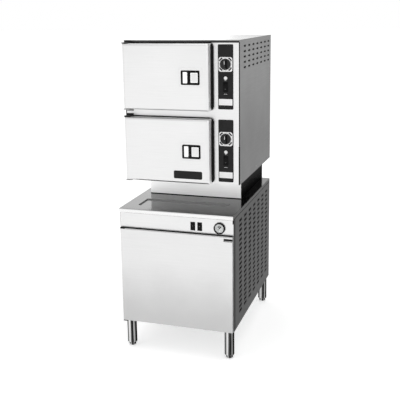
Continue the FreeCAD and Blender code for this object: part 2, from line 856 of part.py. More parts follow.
def hinge_brackets():
    """Brackets on the face frame with upright pins, above and below each compartment door."""
    made = []
    x0 = hinge_x - hinge_bracket_left
    x1 = x0 + hinge_bracket_width
    tongue_y = hinge_y - hinge_boss_radius
    for z0 in levels.values():
        z1 = z0 + door_height
        low_plate = z0 - hinge_plate_gap - hinge_bracket_thickness
        high_plate = z1 + hinge_plate_gap
        for plate_z, pin_z in ((low_plate, low_plate + 1), (high_plate, z1 - hinge_pin_length)):
            arm = block(x0, x1, tongue_y, casing_front, plate_z, plate_z + hinge_bracket_thickness)
            arm = arm.makeFillet(hinge_boss_radius, [e for e in edges_along(arm, Z)
                                                     if e.CenterOfMass.y < tongue_y + 1])
            away = -1 if plate_z == low_plate else 1
            heel_z = plate_z - hinge_heel_height if away < 0 else plate_z
            heel_z = max(heel_z, casing_z)
            heel_top = plate_z + (hinge_bracket_thickness if away < 0 else hinge_heel_height)
            heel = block(x0, x1, casing_front - hinge_bracket_thickness, casing_front, heel_z, heel_top)
            pin = rod(hinge_x, hinge_y, pin_z, hinge_pin_radius, hinge_pin_length + hinge_plate_gap + 2)
            made.append(joined(arm, heel, pin))
    return made


def control_strip(z0):
    """Front strip beside a door, with holes for the timer, the lamp and the rocker."""
    centre = z0 + door_height / 2
    y0 = casing_front - strip_thickness
    half = strip_height / 2
    strip = round_front(strip_x - strip_width / 2, strip_x + strip_width / 2, y0, casing_front,
                        centre - half, centre + half, strip_corner_radius)
    strip = strip.cut(rod(strip_x, y0 - 1, centre + knob_height, timer_bush_radius + 1,
                          strip_thickness + 2, Y))
    strip = strip.cut(rod(strip_x, y0 - 1, centre + lamp_height, lamp_radius + running_gap,
                          strip_thickness + 2, Y))
    return strip.cut(rocker_hole(strip_x, centre + rocker_height, rocker_width, rocker_tall, y0))


def timer_knob(z0):
    """Timer knob: a round skirt with a tapered grip across it, hollow over the timer's shaft."""
    centre = z0 + door_height / 2 + knob_height
    back = casing_front - strip_thickness - knob_gap
    skirt = rod(strip_x, back - knob_skirt, centre, knob_radius, knob_skirt, Y)
    half_w = knob_grip_width / 2
    tip = knob_radius - knob_grip_inset
    front = back - knob_skirt - knob_grip_depth
    outline = [Vector(strip_x - half_w, back - knob_skirt, centre - tip),
               Vector(strip_x + half_w, back - knob_skirt, centre - tip),
               Vector(strip_x + half_w - knob_grip_inset, front, centre - tip + knob_grip_slope),
               Vector(strip_x - half_w + knob_grip_inset, front, centre - tip + knob_grip_slope)]
    top = [Vector(p.x, p.y, 2 * centre - p.z) for p in outline]
    grip = Part.makeLoft([Part.makePolygon(outline + outline[:1]), Part.makePolygon(top + top[:1])], True,
                         True)
    bore = rod(strip_x, back - timer_shaft_length + timer_bush_radius, centre,
               timer_shaft_radius + thread_clearance,
               timer_shaft_length, Y)
    return joined(skirt, grip).cut(bore)


def timer_body(z0):
    """Clockwork timer behind a strip: case, bush through the panel, and the shaft that carries the knob."""
    centre = z0 + door_height / 2 + knob_height
    half = timer_body_width / 2
    case = block(strip_x - half, strip_x + half, face_back, face_back + timer_body_depth,
                 centre - half, centre + half)
    bush = rod(strip_x, casing_front - strip_thickness, centre, timer_bush_radius,
               strip_thickness + sheet + 1, Y)
    shaft_y = casing_front - strip_thickness - knob_gap - timer_shaft_length + timer_bush_radius + 1
    shaft = rod(strip_x, shaft_y, centre, timer_shaft_radius, casing_front - shaft_y, Y)
    return joined(case, bush, shaft)


def lamp(z0):
    """Pilot lamp with a domed lens and its body through the panel."""
    centre = z0 + door_height / 2 + lamp_height
    y0 = casing_front - strip_thickness
    body = rod(strip_x, y0, centre, lamp_radius, lamp_body_length, Y)
    lens = cone(strip_x, y0, centre, lamp_radius + lamp_rim, lamp_radius - lamp_taper, lamp_stand, -Y)
    return joined(body, lens)


def rocker_hole(x, z, width, tall, y0):
    """The cut in a panel for a switch body."""
    half_w = width / 2 - rocker_rim + running_gap
    half_h = tall / 2 - rocker_rim + running_gap
    return block(x - half_w, x + half_w, y0 - 1, y0 + strip_thickness + sheet + frame_leg, z - half_h,
                 z + half_h)


def rocker_housing(x, z, width, tall, y0):
    """Switch body: a rim in front of the panel, a case behind it and a well for the rocker."""
    half_w = width / 2
    half_h = tall / 2
    rim = block(x - half_w, x + half_w, y0 - rocker_rim_stand, y0, z - half_h, z + half_h)
    inset = rocker_rim
    case = block(x - half_w + inset, x + half_w - inset, y0 - 1, y0 + rocker_body_depth,
                 z - half_h + inset, z + half_h - inset)
    wall = rocker_rim + 1
    well = block(x - half_w + wall, x + half_w - wall, y0 - rocker_rim_stand - 1, y0 + rocker_cavity,
                 z - half_h + wall, z + half_h - wall)
    return joined(rim, case).cut(well)


def rocker(x, z, width, tall, y0):
    """Rocker: two faces that meet at the pivot, drawn tilted with its lower end out."""
    wall = rocker_rim + 1
    half_w = width / 2 - wall - rocker_play
    reach = tall / 2 - wall - rocker_play - 1
    pivot_y = y0 + rocker_pivot_depth
    rise = reach * math.tan(math.radians(rocker_tilt))
    nose = rocker_rim_stand + rocker_nose
    heel_y = pivot_y + rocker_back - 1
    heel_reach = reach - rocker_back_slope
    outline = [Vector(x - half_w, y0 - nose + rise, z + reach), Vector(x - half_w, y0 - nose, z),
               Vector(x - half_w, y0 - nose + rise, z - reach), Vector(x - half_w, heel_y, z - heel_reach),
               Vector(x - half_w, pivot_y + rocker_back, z), Vector(x - half_w, heel_y, z + heel_reach)]
    body = prism(outline, Vector(2 * half_w, 0, 0))
    pin = rod(x - half_w - rocker_play, pivot_y, z, rocker_pin_radius, 2 * half_w + 2 * rocker_play, X)
    shape = joined(body, pin)
    shape.rotate(Vector(x, pivot_y, z), X, -rocker_tilt)
    return shape


def gauge_case():
    """Gauge case: a bezel ring in front of the fascia, a can behind it and a stem."""
    y0 = fascia_y - gauge_stand
    ring = rod(gauge_x, y0, base_control_z, gauge_radius, gauge_stand, Y)
    can = rod(gauge_x, fascia_y - 1, base_control_z, gauge_can_radius, gauge_can_depth, Y)
    well = rod(gauge_x, y0 - 1, base_control_z, gauge_can_radius - gauge_wall,
               gauge_stand + gauge_can_depth - gauge_wall, Y)
    sill = rod(gauge_x, y0 + gauge_lens_thickness, base_control_z, gauge_lens_radius - gauge_sill,
               gauge_sill, Y)
    seat = rod(gauge_x, y0 - 1, base_control_z, gauge_lens_radius + gauge_lens_play,
               gauge_lens_thickness + 1, Y)
    stem = rod(gauge_x, fascia_y + gauge_can_depth - 2, base_control_z, gauge_stem_radius,
               gauge_stem_length, Y)
    case = joined(ring, can, stem).cut(well)
    return case.cut(seat).cut(sill)


def gauge_dial():
    """Dial plate inside the gauge, with the hole for the needle's shaft and a tube that carries it."""
    y0 = fascia_y
    dial = rod(gauge_x, y0, base_control_z, gauge_can_radius - gauge_wall, gauge_dial_thickness, Y)
    tube = rod(gauge_x, y0, base_control_z, dial_tube_radius, gauge_can_depth - gauge_wall - 1, Y)
    hole = rod(gauge_x, y0 - 1, base_control_z, needle_shaft_radius + thread_clearance,
               needle_shaft_length + 2, Y)
    return joined(dial, tube).cut(hole)


def gauge_needle():
    """Needle with its hub and shaft, at zero."""
    y0 = fascia_y - needle_stand
    hub = rod(gauge_x, y0, base_control_z, needle_hub_radius, needle_thickness + 1, Y)
    half = needle_width / 2
    tip = needle_tip_width / 2
    outline = [Vector(gauge_x - half, y0, base_control_z - needle_tail),
               Vector(gauge_x + half, y0, base_control_z - needle_tail),
               Vector(gauge_x + tip, y0, base_control_z + needle_length),
               Vector(gauge_x - tip, y0, base_control_z + needle_length)]
    blade = prism(outline, Vector(0, needle_thickness, 0))
    shaft = rod(gauge_x, y0, base_control_z, needle_shaft_radius, needle_shaft_length, Y)
    needle = joined(hub, blade, shaft)
    needle.rotate(Vector(gauge_x, y0, base_control_z), Y, needle_start)
    return needle


def gauge_lens():
    """Flat glass of the gauge."""
    return rod(gauge_x, fascia_y - gauge_stand, base_control_z, gauge_lens_radius, gauge_lens_thickness, Y)


def boiler_vessel():
    """Upright vessel with flat rimmed ends, three feet, a side neck for the elements and two steam ports."""
    shell = rod(boiler_x, boiler_y, boiler_z, boiler_radius, boiler_height)
    rims = [rod(boiler_x, boiler_y, z, boiler_radius + boiler_rim, boiler_rim)
            for z in (boiler_z, boiler_top - boiler_rim)]
    cavity = rod(boiler_x, boiler_y, boiler_z + boiler_wall, boiler_radius - boiler_wall,
                 boiler_height - 2 * boiler_wall)
    neck_end = flange_face_y()
    neck_z = boiler_z + flange_height
    neck = rod(boiler_x, neck_end, neck_z, flange_neck_radius, boiler_y - neck_end, Y)
    bore = rod(boiler_x, neck_end - 1, neck_z, flange_neck_radius - boiler_wall, boiler_y - neck_end, Y)
    feet = []
    for angle in (90, 210, 330):
        x = boiler_x + (boiler_radius - boiler_foot_width / 2) * math.cos(math.radians(angle))
        y = boiler_y + (boiler_radius - boiler_foot_width / 2) * math.sin(math.radians(angle))
        half = boiler_foot_width / 2
        feet.append(block(x - half, x + half, y - boiler_foot_thickness / 2, y + boiler_foot_thickness / 2,
                          pan_top, boiler_z + 1))
        feet.append(block(x - half, x + half, y - half, y + half, pan_top,
                          pan_top + boiler_foot_thickness / 2))
    ports = [boiler_port(z, -1) for z in (boiler_z + cock_low, boiler_z + cock_low + cock_rise)]
    ports += [boiler_port(z, 1) for z in (water_height, stack_foot)]
    return joined(shell, *rims, neck, *feet, *ports).cut(cavity).cut(bore)


def boiler_port(z, side):
    """A square pad on one side of the boiler that gives a pipe a flat seat."""
    half = boiler_port_width / 2
    near = boiler_x + side * (boiler_radius - boiler_wall)
    far = boiler_x + side * (boiler_radius + boiler_port_stand)
    return block(min(near, far), max(near, far), boiler_y - half, boiler_y + half, z - half, z + half)


def boiler_port_x():
    """Face of the ports on the boiler's right side."""
    return boiler_x + boiler_radius + boiler_port_stand


def flange_face_y():
    """Front end of the boiler's side neck."""
    return boiler_y - boiler_radius - flange_neck_length


def heating_elements():
    """Element flange: a bolted cover with three hairpin elements and a terminal cover."""
    face = flange_face_y()
    z = boiler_z + flange_height
    flange = rod(boiler_x, face - flange_thickness, z, flange_radius, flange_thickness, Y)
    cover = rod(boiler_x, face - flange_thickness - terminal_cover_length, z, terminal_cover_radius,
                terminal_cover_length, Y)
    pins = [hairpin(boiler_x, face - 1, z + number * element_pitch) for number in (-1, 0, 1)]
    return joined(flange, cover, *pins)


def hairpin(x, y, z):
    """A flattened hairpin element: two straight runs and a half turn."""
    half = element_radius
    outer = element_width / 2 + half
    inner = element_width / 2 - half
    straight = element_reach - outer
    bend_y = y + straight
    plate = block(x - outer, x + outer, y, bend_y, z - half, z + half)
    turn = rod(x, bend_y, z - half, outer, 2 * half)
    gap = block(x - inner, x + inner, y - 1, bend_y, z - half - 1, z + half + 1)
    gap_turn = rod(x, bend_y, z - half - 1, inner, 2 * half + 2)
    return joined(plate, turn).cut(gap).cut(gap_turn)


def gauge_cocks():
    """Upper and lower cock of the water gauge, each with its stem."""
    made = []
    x0 = boiler_x - boiler_radius - boiler_port_stand
    for z in (boiler_z + cock_low, boiler_z + cock_low + cock_rise):
        inlet = rod(x0, boiler_y, z, cock_inlet_radius, cock_reach, -X)
        body = rod(x0 - cock_reach, boiler_y, z - cock_half_height, cock_radius,
                   2 * cock_half_height)
        stem = rod(x0 - cock_reach, boiler_y, z, cock_inlet_radius, cock_reach, -Y)
        made.append(joined(body, inlet, stem))
    return made


def sight_glass():
    """Glass tube between the two cocks."""
    low = boiler_z + cock_low + cock_half_height
    x = boiler_x - boiler_radius - boiler_port_stand - cock_reach
    return rod(x, boiler_y, low, glass_radius, cock_rise - 2 * cock_half_height)


def relief_place():
    """Centre of the relief valve on top of the boiler."""
    return boiler_x - relief_offset, boiler_y - relief_offset


def relief_valve():
    """Relief valve with its side outlet, and two ears for the lever."""
    x, y = relief_place()
    body = rod(x, y, boiler_top, relief_radius, relief_height)
    outlet = rod(x, y, boiler_top + relief_height / 2, relief_outlet_radius, relief_outlet_reach, -X)
    ears = []
    half = relief_lever_width / 2 + running_gap
    for side in (-1, 1):
        inner = x + side * half
        outer = inner + side * relief_ear_thickness
        ears.append(block(min(inner, outer), max(inner, outer), y - relief_ear_width / 2,
                          y + relief_ear_width / 2,
                          boiler_top + relief_height - 1, boiler_top + relief_height + relief_ear_height))
    hole = rod(x - relief_radius, y, boiler_top + relief_height + relief_pin_height,
               relief_pin_radius + hinge_clearance, 2 * relief_radius, X)
    return joined(body, outlet, *ears).cut(hole)


def relief_lever():
    """Test lever of the relief valve, on its cross pin."""
    x, y = relief_place()
    z = boiler_top + relief_height + relief_pin_height
    half = relief_lever_width / 2
    arm = block(x - half, x + half, y - relief_lever_length, y + 5, z - relief_lever_thickness / 2,
                z + relief_lever_thickness / 2)
    knuckle = rod(x - half, y, z, relief_knuckle_radius, relief_lever_width, X)
    pin = rod(x - half - relief_ear_thickness, y, z, relief_pin_radius,
              relief_lever_width + 2 * relief_ear_thickness, X)
    return joined(arm, knuckle, pin)


def steam_pipes():
    """One riser for each compartment, from the boiler to its valve, and the stub into the compartment."""
    made = []
    for z0 in levels.values():
        x = riser_x(z0)
        top = inlet_z(z0) - valve_height / 2
        made.append(rod(x, riser_y, boiler_top, riser_radius, top - boiler_top))
        stub_start = compartment_back + 0.2
        stub = rod(x, stub_start, inlet_z(z0), riser_radius - running_gap,
                   riser_y - valve_width / 2 - stub_start, Y)
        made.append(stub)
    return made


def solenoid_valve(x, y, z, coil_axis):
    """Brass valve block with its round coil."""
    half = valve_width / 2
    body = block(x - half, x + half, y - half, y + half, z - valve_height / 2, z + valve_height / 2)
    reach = valve_height / 2 if coil_axis == Z else half
    start = Vector(x, y, z) + coil_axis * (reach - 1)
    coil = Part.makeCylinder(coil_radius, coil_length, start, coil_axis)
    return joined(body, coil)


def valve_places():
    """Every solenoid valve: a centre and the way that its coil points."""
    places = [(riser_x(z0), riser_y, inlet_z(z0), -X) for z0 in levels.values()]
    places.append((water_x, water_valve_y(), water_height, Z))
    places.append((blowdown_x(), boiler_y, stack_foot, -Y))
    return places


def water_valve_y():
    """Place of the feed valve along the water pipe."""
    return inner_back - 75


def blowdown_x():
    """Place of the blow-down valve beside the boiler."""
    return stack_x


def bent_pipe(points, radius, bend):
    """A round pipe through level or upright runs, with an even bend at each corner."""
    edges = []
    start = points[0]
    for before, corner, after in zip(points, points[1:], points[2:]):
        into = (corner - before).normalize()
        out = (after - corner).normalize()
        arc_in = corner - into * bend
        arc_out = corner + out * bend
        middle = corner + (out - into) * (bend * (1 - math.sqrt(0.5)))
        edges.append(Part.LineSegment(start, arc_in).toShape())
        edges.append(Part.Arc(arc_in, middle, arc_out).toShape())
        start = arc_out
    edges.append(Part.LineSegment(start, points[-1]).toShape())
    path = Part.Wire(edges)
    direction = (points[1] - points[0]).normalize()
    ring = Part.Wire(Part.Circle(points[0], direction, radius).toShape())
    return path.makePipeShell([ring], True, False)


def water_pipe():
    """Inlet nipple at the back, and the pipe from the feed valve round to the boiler's side."""
    y = water_valve_y()
    half = valve_width / 2
    nipple = joined(rod(water_x, y + half, water_height, water_radius, casing_back - y - half, Y),
                    rod(water_x, inner_back, water_height, nipple_radius, casing_back - inner_back, Y))
    run = bent_pipe([Vector(water_x, y - half, water_height), Vector(water_x, boiler_y, water_height),
                     Vector(boiler_port_x(), boiler_y, water_height)], water_radius, water_bend)
    return [nipple, run]


def drain_pipe():
    """Drain stack behind the compartments, down through the neck and out at the back, with the blow-down."""
    top = drain_z(levels["upper"]) + stack_radius + 2
    low = stack_foot - stack_radius - 2
    stack = rod(stack_x, riser_y, low, stack_radius, top - low)
    parts = [stack, rod(stack_x, riser_y, stack_foot, stack_radius - 1, casing_back - riser_y, Y)]
    start = compartment_back + sheet
    for z0 in levels.values():
        parts.append(rod(stack_x, start, drain_z(z0), stack_radius - 1, riser_y - start, Y))
    port = rod(boiler_port_x(), boiler_y, stack_foot, water_radius,
               blowdown_x() - valve_width / 2 - boiler_port_x(), X)
    valve_end = boiler_y + valve_width / 2
    blowdown = rod(stack_x, valve_end, stack_foot, water_radius, riser_y - valve_end, Y)
    return [joined(*parts, blowdown), port]


def control_box():
    """Steel box of contactors and fuses beside the boiler, with an overlapping lid towards the door."""
    x1 = inner_half - control_box_side_gap
    x0 = x1 - control_box_width
    y0 = inner_front + control_box_front_gap
    box = block(x0, x1, y0, y0 + control_box_depth, pan_top, pan_top + control_box_height)
    lid = block(x0 - 3, x1 + 3, y0 - 3, y0 + 12, pan_top + 3, pan_top + control_box_height + 3)
    return joined(box, lid)


def base_rocker_parts(make):
    """Both rocker switches of the cabinet, by one maker."""
    return [make(x, base_control_z, base_rocker_width, base_rocker_tall,
                 fascia_y) for x in base_rocker_places()]


def strip_rocker(make, z0):
    """The rocker switch of a control strip, by one maker."""
    return make(strip_x, z0 + door_height / 2 + rocker_height, rocker_width, rocker_tall,
                casing_front - strip_thickness)


def build():
    """Every node of the steamer, by name."""
    nodes = {
        "base_frame": base_frame(),
        "bottom_pan": bottom_pan(),
        "base_side_panel_left": cabinet_side(-half_width),
        "base_side_panel_right": cabinet_side(inner_half),
        "base_back_panel": base_back_panel(),
        "base_top": base_top(),
        "neck_shell": neck_shell(),
        "fascia_panel": fascia_panel(),
        "legs": legs(),
        "base_door": base_door(),
        "upper_side_panel_left": casing_side(-casing_half),
        "upper_side_panel_right": casing_side(casing_half - sheet),
        "upper_top_panel": upper_top_panel(),
        "upper_bottom_panel": upper_bottom_panel(),
        "upper_back_panel": upper_back_panel(),
        "face_frame": face_frame(),
        "pan_racks": [piece for z0 in levels.values() for side in (-1, 1) for piece in pan_rack(z0, side)],
        "hinge_brackets": hinge_brackets() + base_door_brackets(),
        "control_strips": [control_strip(z0) for z0 in levels.values()],
        "timer_bodies": [timer_body(z0) for z0 in levels.values()],
        "pilot_lamps": [lamp(z0) for z0 in levels.values()],
        "switch_bodies": base_rocker_parts(rocker_housing)
        + [strip_rocker(rocker_housing, z0) for z0 in levels.values()],
        "gauge_case": gauge_case(),
        "gauge_dial": gauge_dial(),
        "gauge_needle": gauge_needle(),
        "gauge_lens": gauge_lens(),
        "boiler_vessel": boiler_vessel(),
        "heating_elements": heating_elements(),
        "gauge_cocks": gauge_cocks(),
        "sight_glass": sight_glass(),
        "relief_valve": relief_valve(),
        "relief_lever": relief_lever(),
        "copper_pipes": steam_pipes() + water_pipe(),
        "solenoid_valves": [solenoid_valve(*place) for place in valve_places()],
        "drain_pipe": drain_pipe(),
        "control_box": control_box(),
    }
    for name, place in zip(("front_left", "front_right", "back_left", "back_right"), leg_places()):
        nodes["foot_" + name] = foot(*place)
    for name, shape in zip(("left", "right"), base_rocker_parts(rocker)):
        nodes["base_rocker_" + name] = shape
    for level, z0 in levels.items():
        nodes[level + "_compartment"] = compartment(z0)
        nodes[level + "_door_skin"] = door_skin(z0)
        nodes[level + "_door_liner"] = door_liner(z0)
        nodes[level + "_door_gasket"] = door_gasket(z0)
        nodes[level + "_latch_bezel"] = latch_bezel(z0)
        nodes[level + "_latch_paddle"] = latch_paddle(z0)
        nodes[level + "_latch_slide"] = latch_slide(z0)
        nodes[level + "_timer_knob"] = timer_knob(z0)
        nodes[level + "_rocker"] = strip_rocker(rocker, z0)
    return nodes


def solids_of(shape):
    """The solids in a shape or a list of shapes."""
    shapes = shape if isinstance(shape, list) else [shape]
    return [solid for item in shapes for solid in item.Solids]


os.makedirs("parts", exist_ok=True)
made = build()
for name, shape in made.items():
    solids = solids_of(shape)
    whole = solids[0] if len(solids) == 1 else Part.makeCompound(solids)
    whole.exportStep("parts/" + name + ".step")
    box = whole.BoundBox
    print(name, len(solids), "solid" if len(solids) == 1 else "solids", whole.isValid(),
          [round(v, 1) for v in (box.XMin, box.XMax, box.YMin, box.YMax, box.ZMin, box.ZMax)])
print(len(made), "nodes")
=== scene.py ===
# %% [markdown]
# # A two-compartment convection steamer
# The steamer's metal parts are already built and packed as a fixed frame of named bodies. This lesson dresses
# that frame: it gives every sheet, moulding and pipe its finish, adds the small pieces that only the eye needs,
# such as louvre scoops, screws and dial marks, and sets up a plain studio round it.

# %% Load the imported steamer
import math

import bmesh
import bpy
from mathutils import Matrix, Vector


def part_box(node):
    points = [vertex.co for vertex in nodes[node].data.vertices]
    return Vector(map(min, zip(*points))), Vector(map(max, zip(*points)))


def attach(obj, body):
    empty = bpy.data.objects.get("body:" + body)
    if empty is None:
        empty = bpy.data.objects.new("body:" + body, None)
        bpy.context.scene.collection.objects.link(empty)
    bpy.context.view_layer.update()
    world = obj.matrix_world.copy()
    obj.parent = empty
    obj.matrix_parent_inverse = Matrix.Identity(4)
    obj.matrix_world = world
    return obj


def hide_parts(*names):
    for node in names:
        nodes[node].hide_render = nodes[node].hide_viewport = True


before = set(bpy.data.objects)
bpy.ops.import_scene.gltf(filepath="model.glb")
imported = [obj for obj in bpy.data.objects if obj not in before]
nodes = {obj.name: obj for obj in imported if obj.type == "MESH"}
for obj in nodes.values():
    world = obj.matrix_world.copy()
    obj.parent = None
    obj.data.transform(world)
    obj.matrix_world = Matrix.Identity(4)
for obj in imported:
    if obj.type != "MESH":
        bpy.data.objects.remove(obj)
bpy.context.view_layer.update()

# %% [markdown]
# ## Millimetres and colours
# Everything is measured on the real machine in millimetres, and Blender works in metres. X runs to the right, Y to
# the back and Z up. Colours are picked as sRGB hex values, the way a steel sample is read on a screen, and one
# function turns them to linear light.

# %% Millimetres and colours
MM = 0.001
X, Y, Z = 0, 1, 2


def mm(*values):
    """A point or size given in millimetres, as a vector in metres."""
    return Vector(values) * MM


def linear(hex_colour):
    """An sRGB hex colour as linear red, green, blue and alpha."""
    channels = [int(hex_colour[i:i + 2], 16) / 255 for i in (1, 3, 5)]
    return [c / 12.92 if c <= 0.04045 else ((c + 0.055) / 1.055) ** 2.4 for c in channels] + [1.0]


print("middle grey in linear light", round(linear("#808080")[0], 3))

# %% [markdown]
# A material is a small graph. One function adds a node, sets it and joins it up, and another ends the graph with its
# shader. Every finish is made with these few lines. Blender's own name for a kind of node is the word given here with
# ShaderNode before it.

# %% Nodes
def add(tree, kind, inputs=None, **settings):
    """Adds a node, sets its properties, and fills its inputs with values or with other nodes' outputs."""
    made = tree.nodes.new("ShaderNode" + kind)
    for key, value in settings.items():
        setattr(made, key, value)
    for key, value in (inputs or {}).items():
        if isinstance(value, bpy.types.NodeSocket):
            tree.links.new(value, made.inputs[key])
        else:
            made.inputs[key].default_value = value
    return made


def new_material(name):
    """A material with an empty tree, and that tree."""
    material = bpy.data.materials.new(name)
    material.use_nodes = True
    material.node_tree.nodes.clear()
    return material, material.node_tree


def surface(tree, inputs):
    """Ends a tree: the shader with its inputs filled, joined to the output."""
    shader = add(tree, "BsdfPrincipled", inputs)
    add(tree, "OutputMaterial", {"Surface": shader.outputs[0]})


print("materials before dressing", len(bpy.data.materials))

# %% [markdown]
# ## Brushed stainless steel
# The machine is folded from 304 stainless sheet with a No. 4 finish: a belt of 150 grit leaves short level scratches,
# about 0.1 mm wide and tens of millimetres long. They blur reflections along one direction and leave a faint
# streaky tone. Scratches that fine vanish at this distance, so they are drawn 2.5 mm wide and 180 mm long. The
# noise is stretched by scaling the piece's own coordinates, so the grain moves with a door when it opens.

# %% Brushed sheet
def brushed_steel(name, dark, light, rough, across_mm=(180, 180, 2.5), relief_mm=0.02):
    """Brushed stainless sheet: its streak tones, its mean roughness, and the size of a streak along X, Y and Z."""
    material, tree = new_material(name)
    place = add(tree, "TexCoord").outputs["Object"]
    stretch = [1 / (size * MM) for size in across_mm]
    lines = add(tree, "Mapping", {"Vector": place, "Scale": stretch})
    streak = add(tree, "TexNoise", {"Vector": lines.outputs[0], "Scale": 1.0, "Detail": 3.0, "Roughness": 0.6})
    patch = add(tree, "TexNoise", {"Vector": place, "Scale": 1 / (220 * MM), "Detail": 2.0})
    tone = add(tree, "MapRange", {"Value": streak.outputs[0], "From Min": 0.3, "From Max": 0.7})
    colour = add(tree, "Mix", {"Factor": tone.outputs[0], 6: linear(dark), 7: linear(light)}, data_type="RGBA")
    both = add(tree, "Math", {0: streak.outputs[0], 1: patch.outputs[0]}, operation="ADD")
    gloss = add(tree, "MapRange", {"Value": both.outputs[0], "From Min": 0.6, "From Max": 1.4,
                                   "To Min": rough - 0.06, "To Max": rough + 0.06})
    bump = add(tree, "Bump", {"Height": streak.outputs[0], "Strength": 0.35, "Distance": relief_mm * MM})
    surface(tree, {"Base Color": colour.outputs[2], "Roughness": gloss.outputs[0], "Normal": bump.outputs[0],
                   "Metallic": 1.0})
    return material


door_steel = brushed_steel("stainless_brushed_doors", "#DDDDDD", "#E3E3E3", 0.34, relief_mm=0.008)
print("first sheet", door_steel.name, "from", len(door_steel.node_tree.nodes), "nodes")

# %% [markdown]
# Polished steel mirrors the room, and on the real machine each group of panels mirrors another part of its room. The
# plain studio here has no such parts, so each group's tone is painted reflection: pale doors and neck, mid grey casing
# sides, dark louvred sides, a pale casing top and a dark cabinet top. The tops lie flat and are brushed from side to
# side. Inside, the sheet is left as it comes from the mill.

# %% The machine's sheets
level_streaks = (180, 2.5, 180)
# The tones of these sheets are painted reflection, one per group of panels.
base_door_steel = brushed_steel("stainless_brushed_cabinet_door", "#DADADA", "#DFDFDF", 0.36, relief_mm=0.008)
casing_side_steel = brushed_steel("stainless_brushed_casing_sides", "#7F7F7F", "#939393", 0.42)
base_side_steel = brushed_steel("stainless_brushed_cabinet_sides", "#565656", "#686868", 0.42)
top_steel = brushed_steel("stainless_brushed_tops", "#484848", "#545454", 0.13, level_streaks)
casing_top_steel = brushed_steel("stainless_brushed_casing_top", "#D9D9D9", "#E4E4E4", 0.3, level_streaks)
inner_steel = brushed_steel("stainless_mill_finish", "#AAABAB", "#B1B2B2", 0.3, (140, 140, 3), 0.004)
neck_steel = brushed_steel("stainless_neck", "#F4F4F4", "#FCFCFC", 0.36)
print("sheets", [m.name for m in bpy.data.materials if m.name.startswith("stainless")])

# %% [markdown]
# Every shiny surface turns white where it is seen at a very low angle. A scuffed grain does so less, because each
# scratch faces its own way. Blender's metal has a tint for just that angle.

# %% Low angles
def shader_of(material):
    """The shader inside a material."""
    return next(n for n in material.node_tree.nodes if n.type == "BSDF_PRINCIPLED")


def edge_tint(material, hex_colour):
    """Sets how bright a metal is where it is seen at a low angle."""
    shader_of(material).inputs["Specular Tint"].default_value = linear(hex_colour)


# The tints differ between groups of one steel, as part of each group's painted reflection.
for steel, tint in ((base_side_steel, "#C4C4C4"), (casing_side_steel, "#E6E6E6"), (neck_steel, "#909090")):
    edge_tint(steel, tint)
    print(steel.name, "at low angles", tint)

# %% [markdown]
# ## Sheets that change at a fold
# A folded sheet shows several faces, and each catches other light. It could be cut into several objects, but it is
# one piece of steel. So its material paints that light and shade on, picking another colour by the way a face looks
# and by where it lies on the sheet. The casing top is the first: it is pale, and its folded front edge is painted grey
# as shade, with a painted shadow line under it.

# %% Paint part of a sheet
PLUS, MINUS = (0.7, 1.1), (-1.1, -0.7)


def object_axes(tree):
    """Where a point lies on its piece: X, Y and Z in metres."""
    return add(tree, "SeparateXYZ", {0: add(tree, "TexCoord").outputs["Object"]}).outputs


def inside(tree, value, low, high, factor=None):
    """One where a value lies between two numbers and nought elsewhere, times an earlier factor if there is one."""
    for number, comparison in ((low, "GREATER_THAN"), (high, "LESS_THAN")):
        test = add(tree, "Math", {0: value, 1: number}, operation=comparison).outputs[0]
        if factor is not None:
            test = add(tree, "Math", {0: factor, 1: test}, operation="MULTIPLY").outputs[0]
        factor = test
    return factor


def paint(material, factor, colour):
    """Lays a colour, or another node's output, over a material's own wherever a factor says."""
    tree = material.node_tree
    target = shader_of(material).inputs["Base Color"]
    over = linear(colour) if isinstance(colour, str) else colour
    mixed = add(tree, "Mix", {"Factor": factor, 6: target.links[0].from_socket, 7: over}, data_type="RGBA")
    tree.links.new(mixed.outputs[2], target)


def facing_colour_or_shade(material, axis, facing, other, within=None, rough=None):
    """Gives another colour to the faces whose normal lies between two values along an axis.

    A table of axis against low and high millimetres keeps the change to one part of the sheet, and a roughness
    can change with the colour."""
    tree = material.node_tree
    normal = add(tree, "SeparateXYZ", {0: add(tree, "NewGeometry").outputs["True Normal"]})
    factor = inside(tree, normal.outputs[axis], *facing)
    place = object_axes(tree)
    for side, (start, end) in (within or {}).items():
        factor = inside(tree, place[side], start * MM, end * MM, factor)
    paint(material, factor, other)
    if rough is not None:
        gloss = shader_of(material).inputs["Roughness"]
        changed = add(tree, "Mix", {"Factor": factor, 2: gloss.links[0].from_socket, 3: rough})
        tree.links.new(changed.outputs[0], gloss)


# Painted shade on the casing top's front fold, and a painted shadow line under its edge.
facing_colour_or_shade(casing_top_steel, Y, MINUS, "#8E8E8E")
facing_colour_or_shade(casing_top_steel, Y, MINUS, "#343434", {Z: (1600, 1620.5)})
print("casing top", casing_top_steel.name)

# %% [markdown]
# The cabinet top is painted dark as reflection. Its front slope and the left wall of its recess are painted light as
# highlight, its rolled front lip is painted pale as highlight, its side folds are painted near black as shade and made
# duller, and a black band of painted shade runs under them where they lap over the side panels.

# %% The cabinet top
slope, right_fold, left_fold = (-1.1, -0.45), (0.2, 1.1), (-1.1, -0.2)
fold_rough, seam_rough = 0.45, 0.7
# Painted highlights on the slope, the recess wall and the lip; painted shade on the side folds and under their lap.
facing_colour_or_shade(top_steel, Y, slope, "#B4B4B4")
facing_colour_or_shade(top_steel, X, right_fold, "#1C1C1C", {X: (290, 310)}, fold_rough)
facing_colour_or_shade(top_steel, X, left_fold, "#1C1C1C", {X: (-310, -290)}, fold_rough)
facing_colour_or_shade(top_steel, X, right_fold, "#B4B4B4", {X: (-290, 0)})
for facing in (PLUS, MINUS):
    facing_colour_or_shade(top_steel, X, facing, "#030303", {Z: (750, 758.5)}, seam_rough)
facing_colour_or_shade(top_steel, Y, slope, "#E6E6E6", {Y: (-440, -420)})
print("cabinet top", top_steel.name)
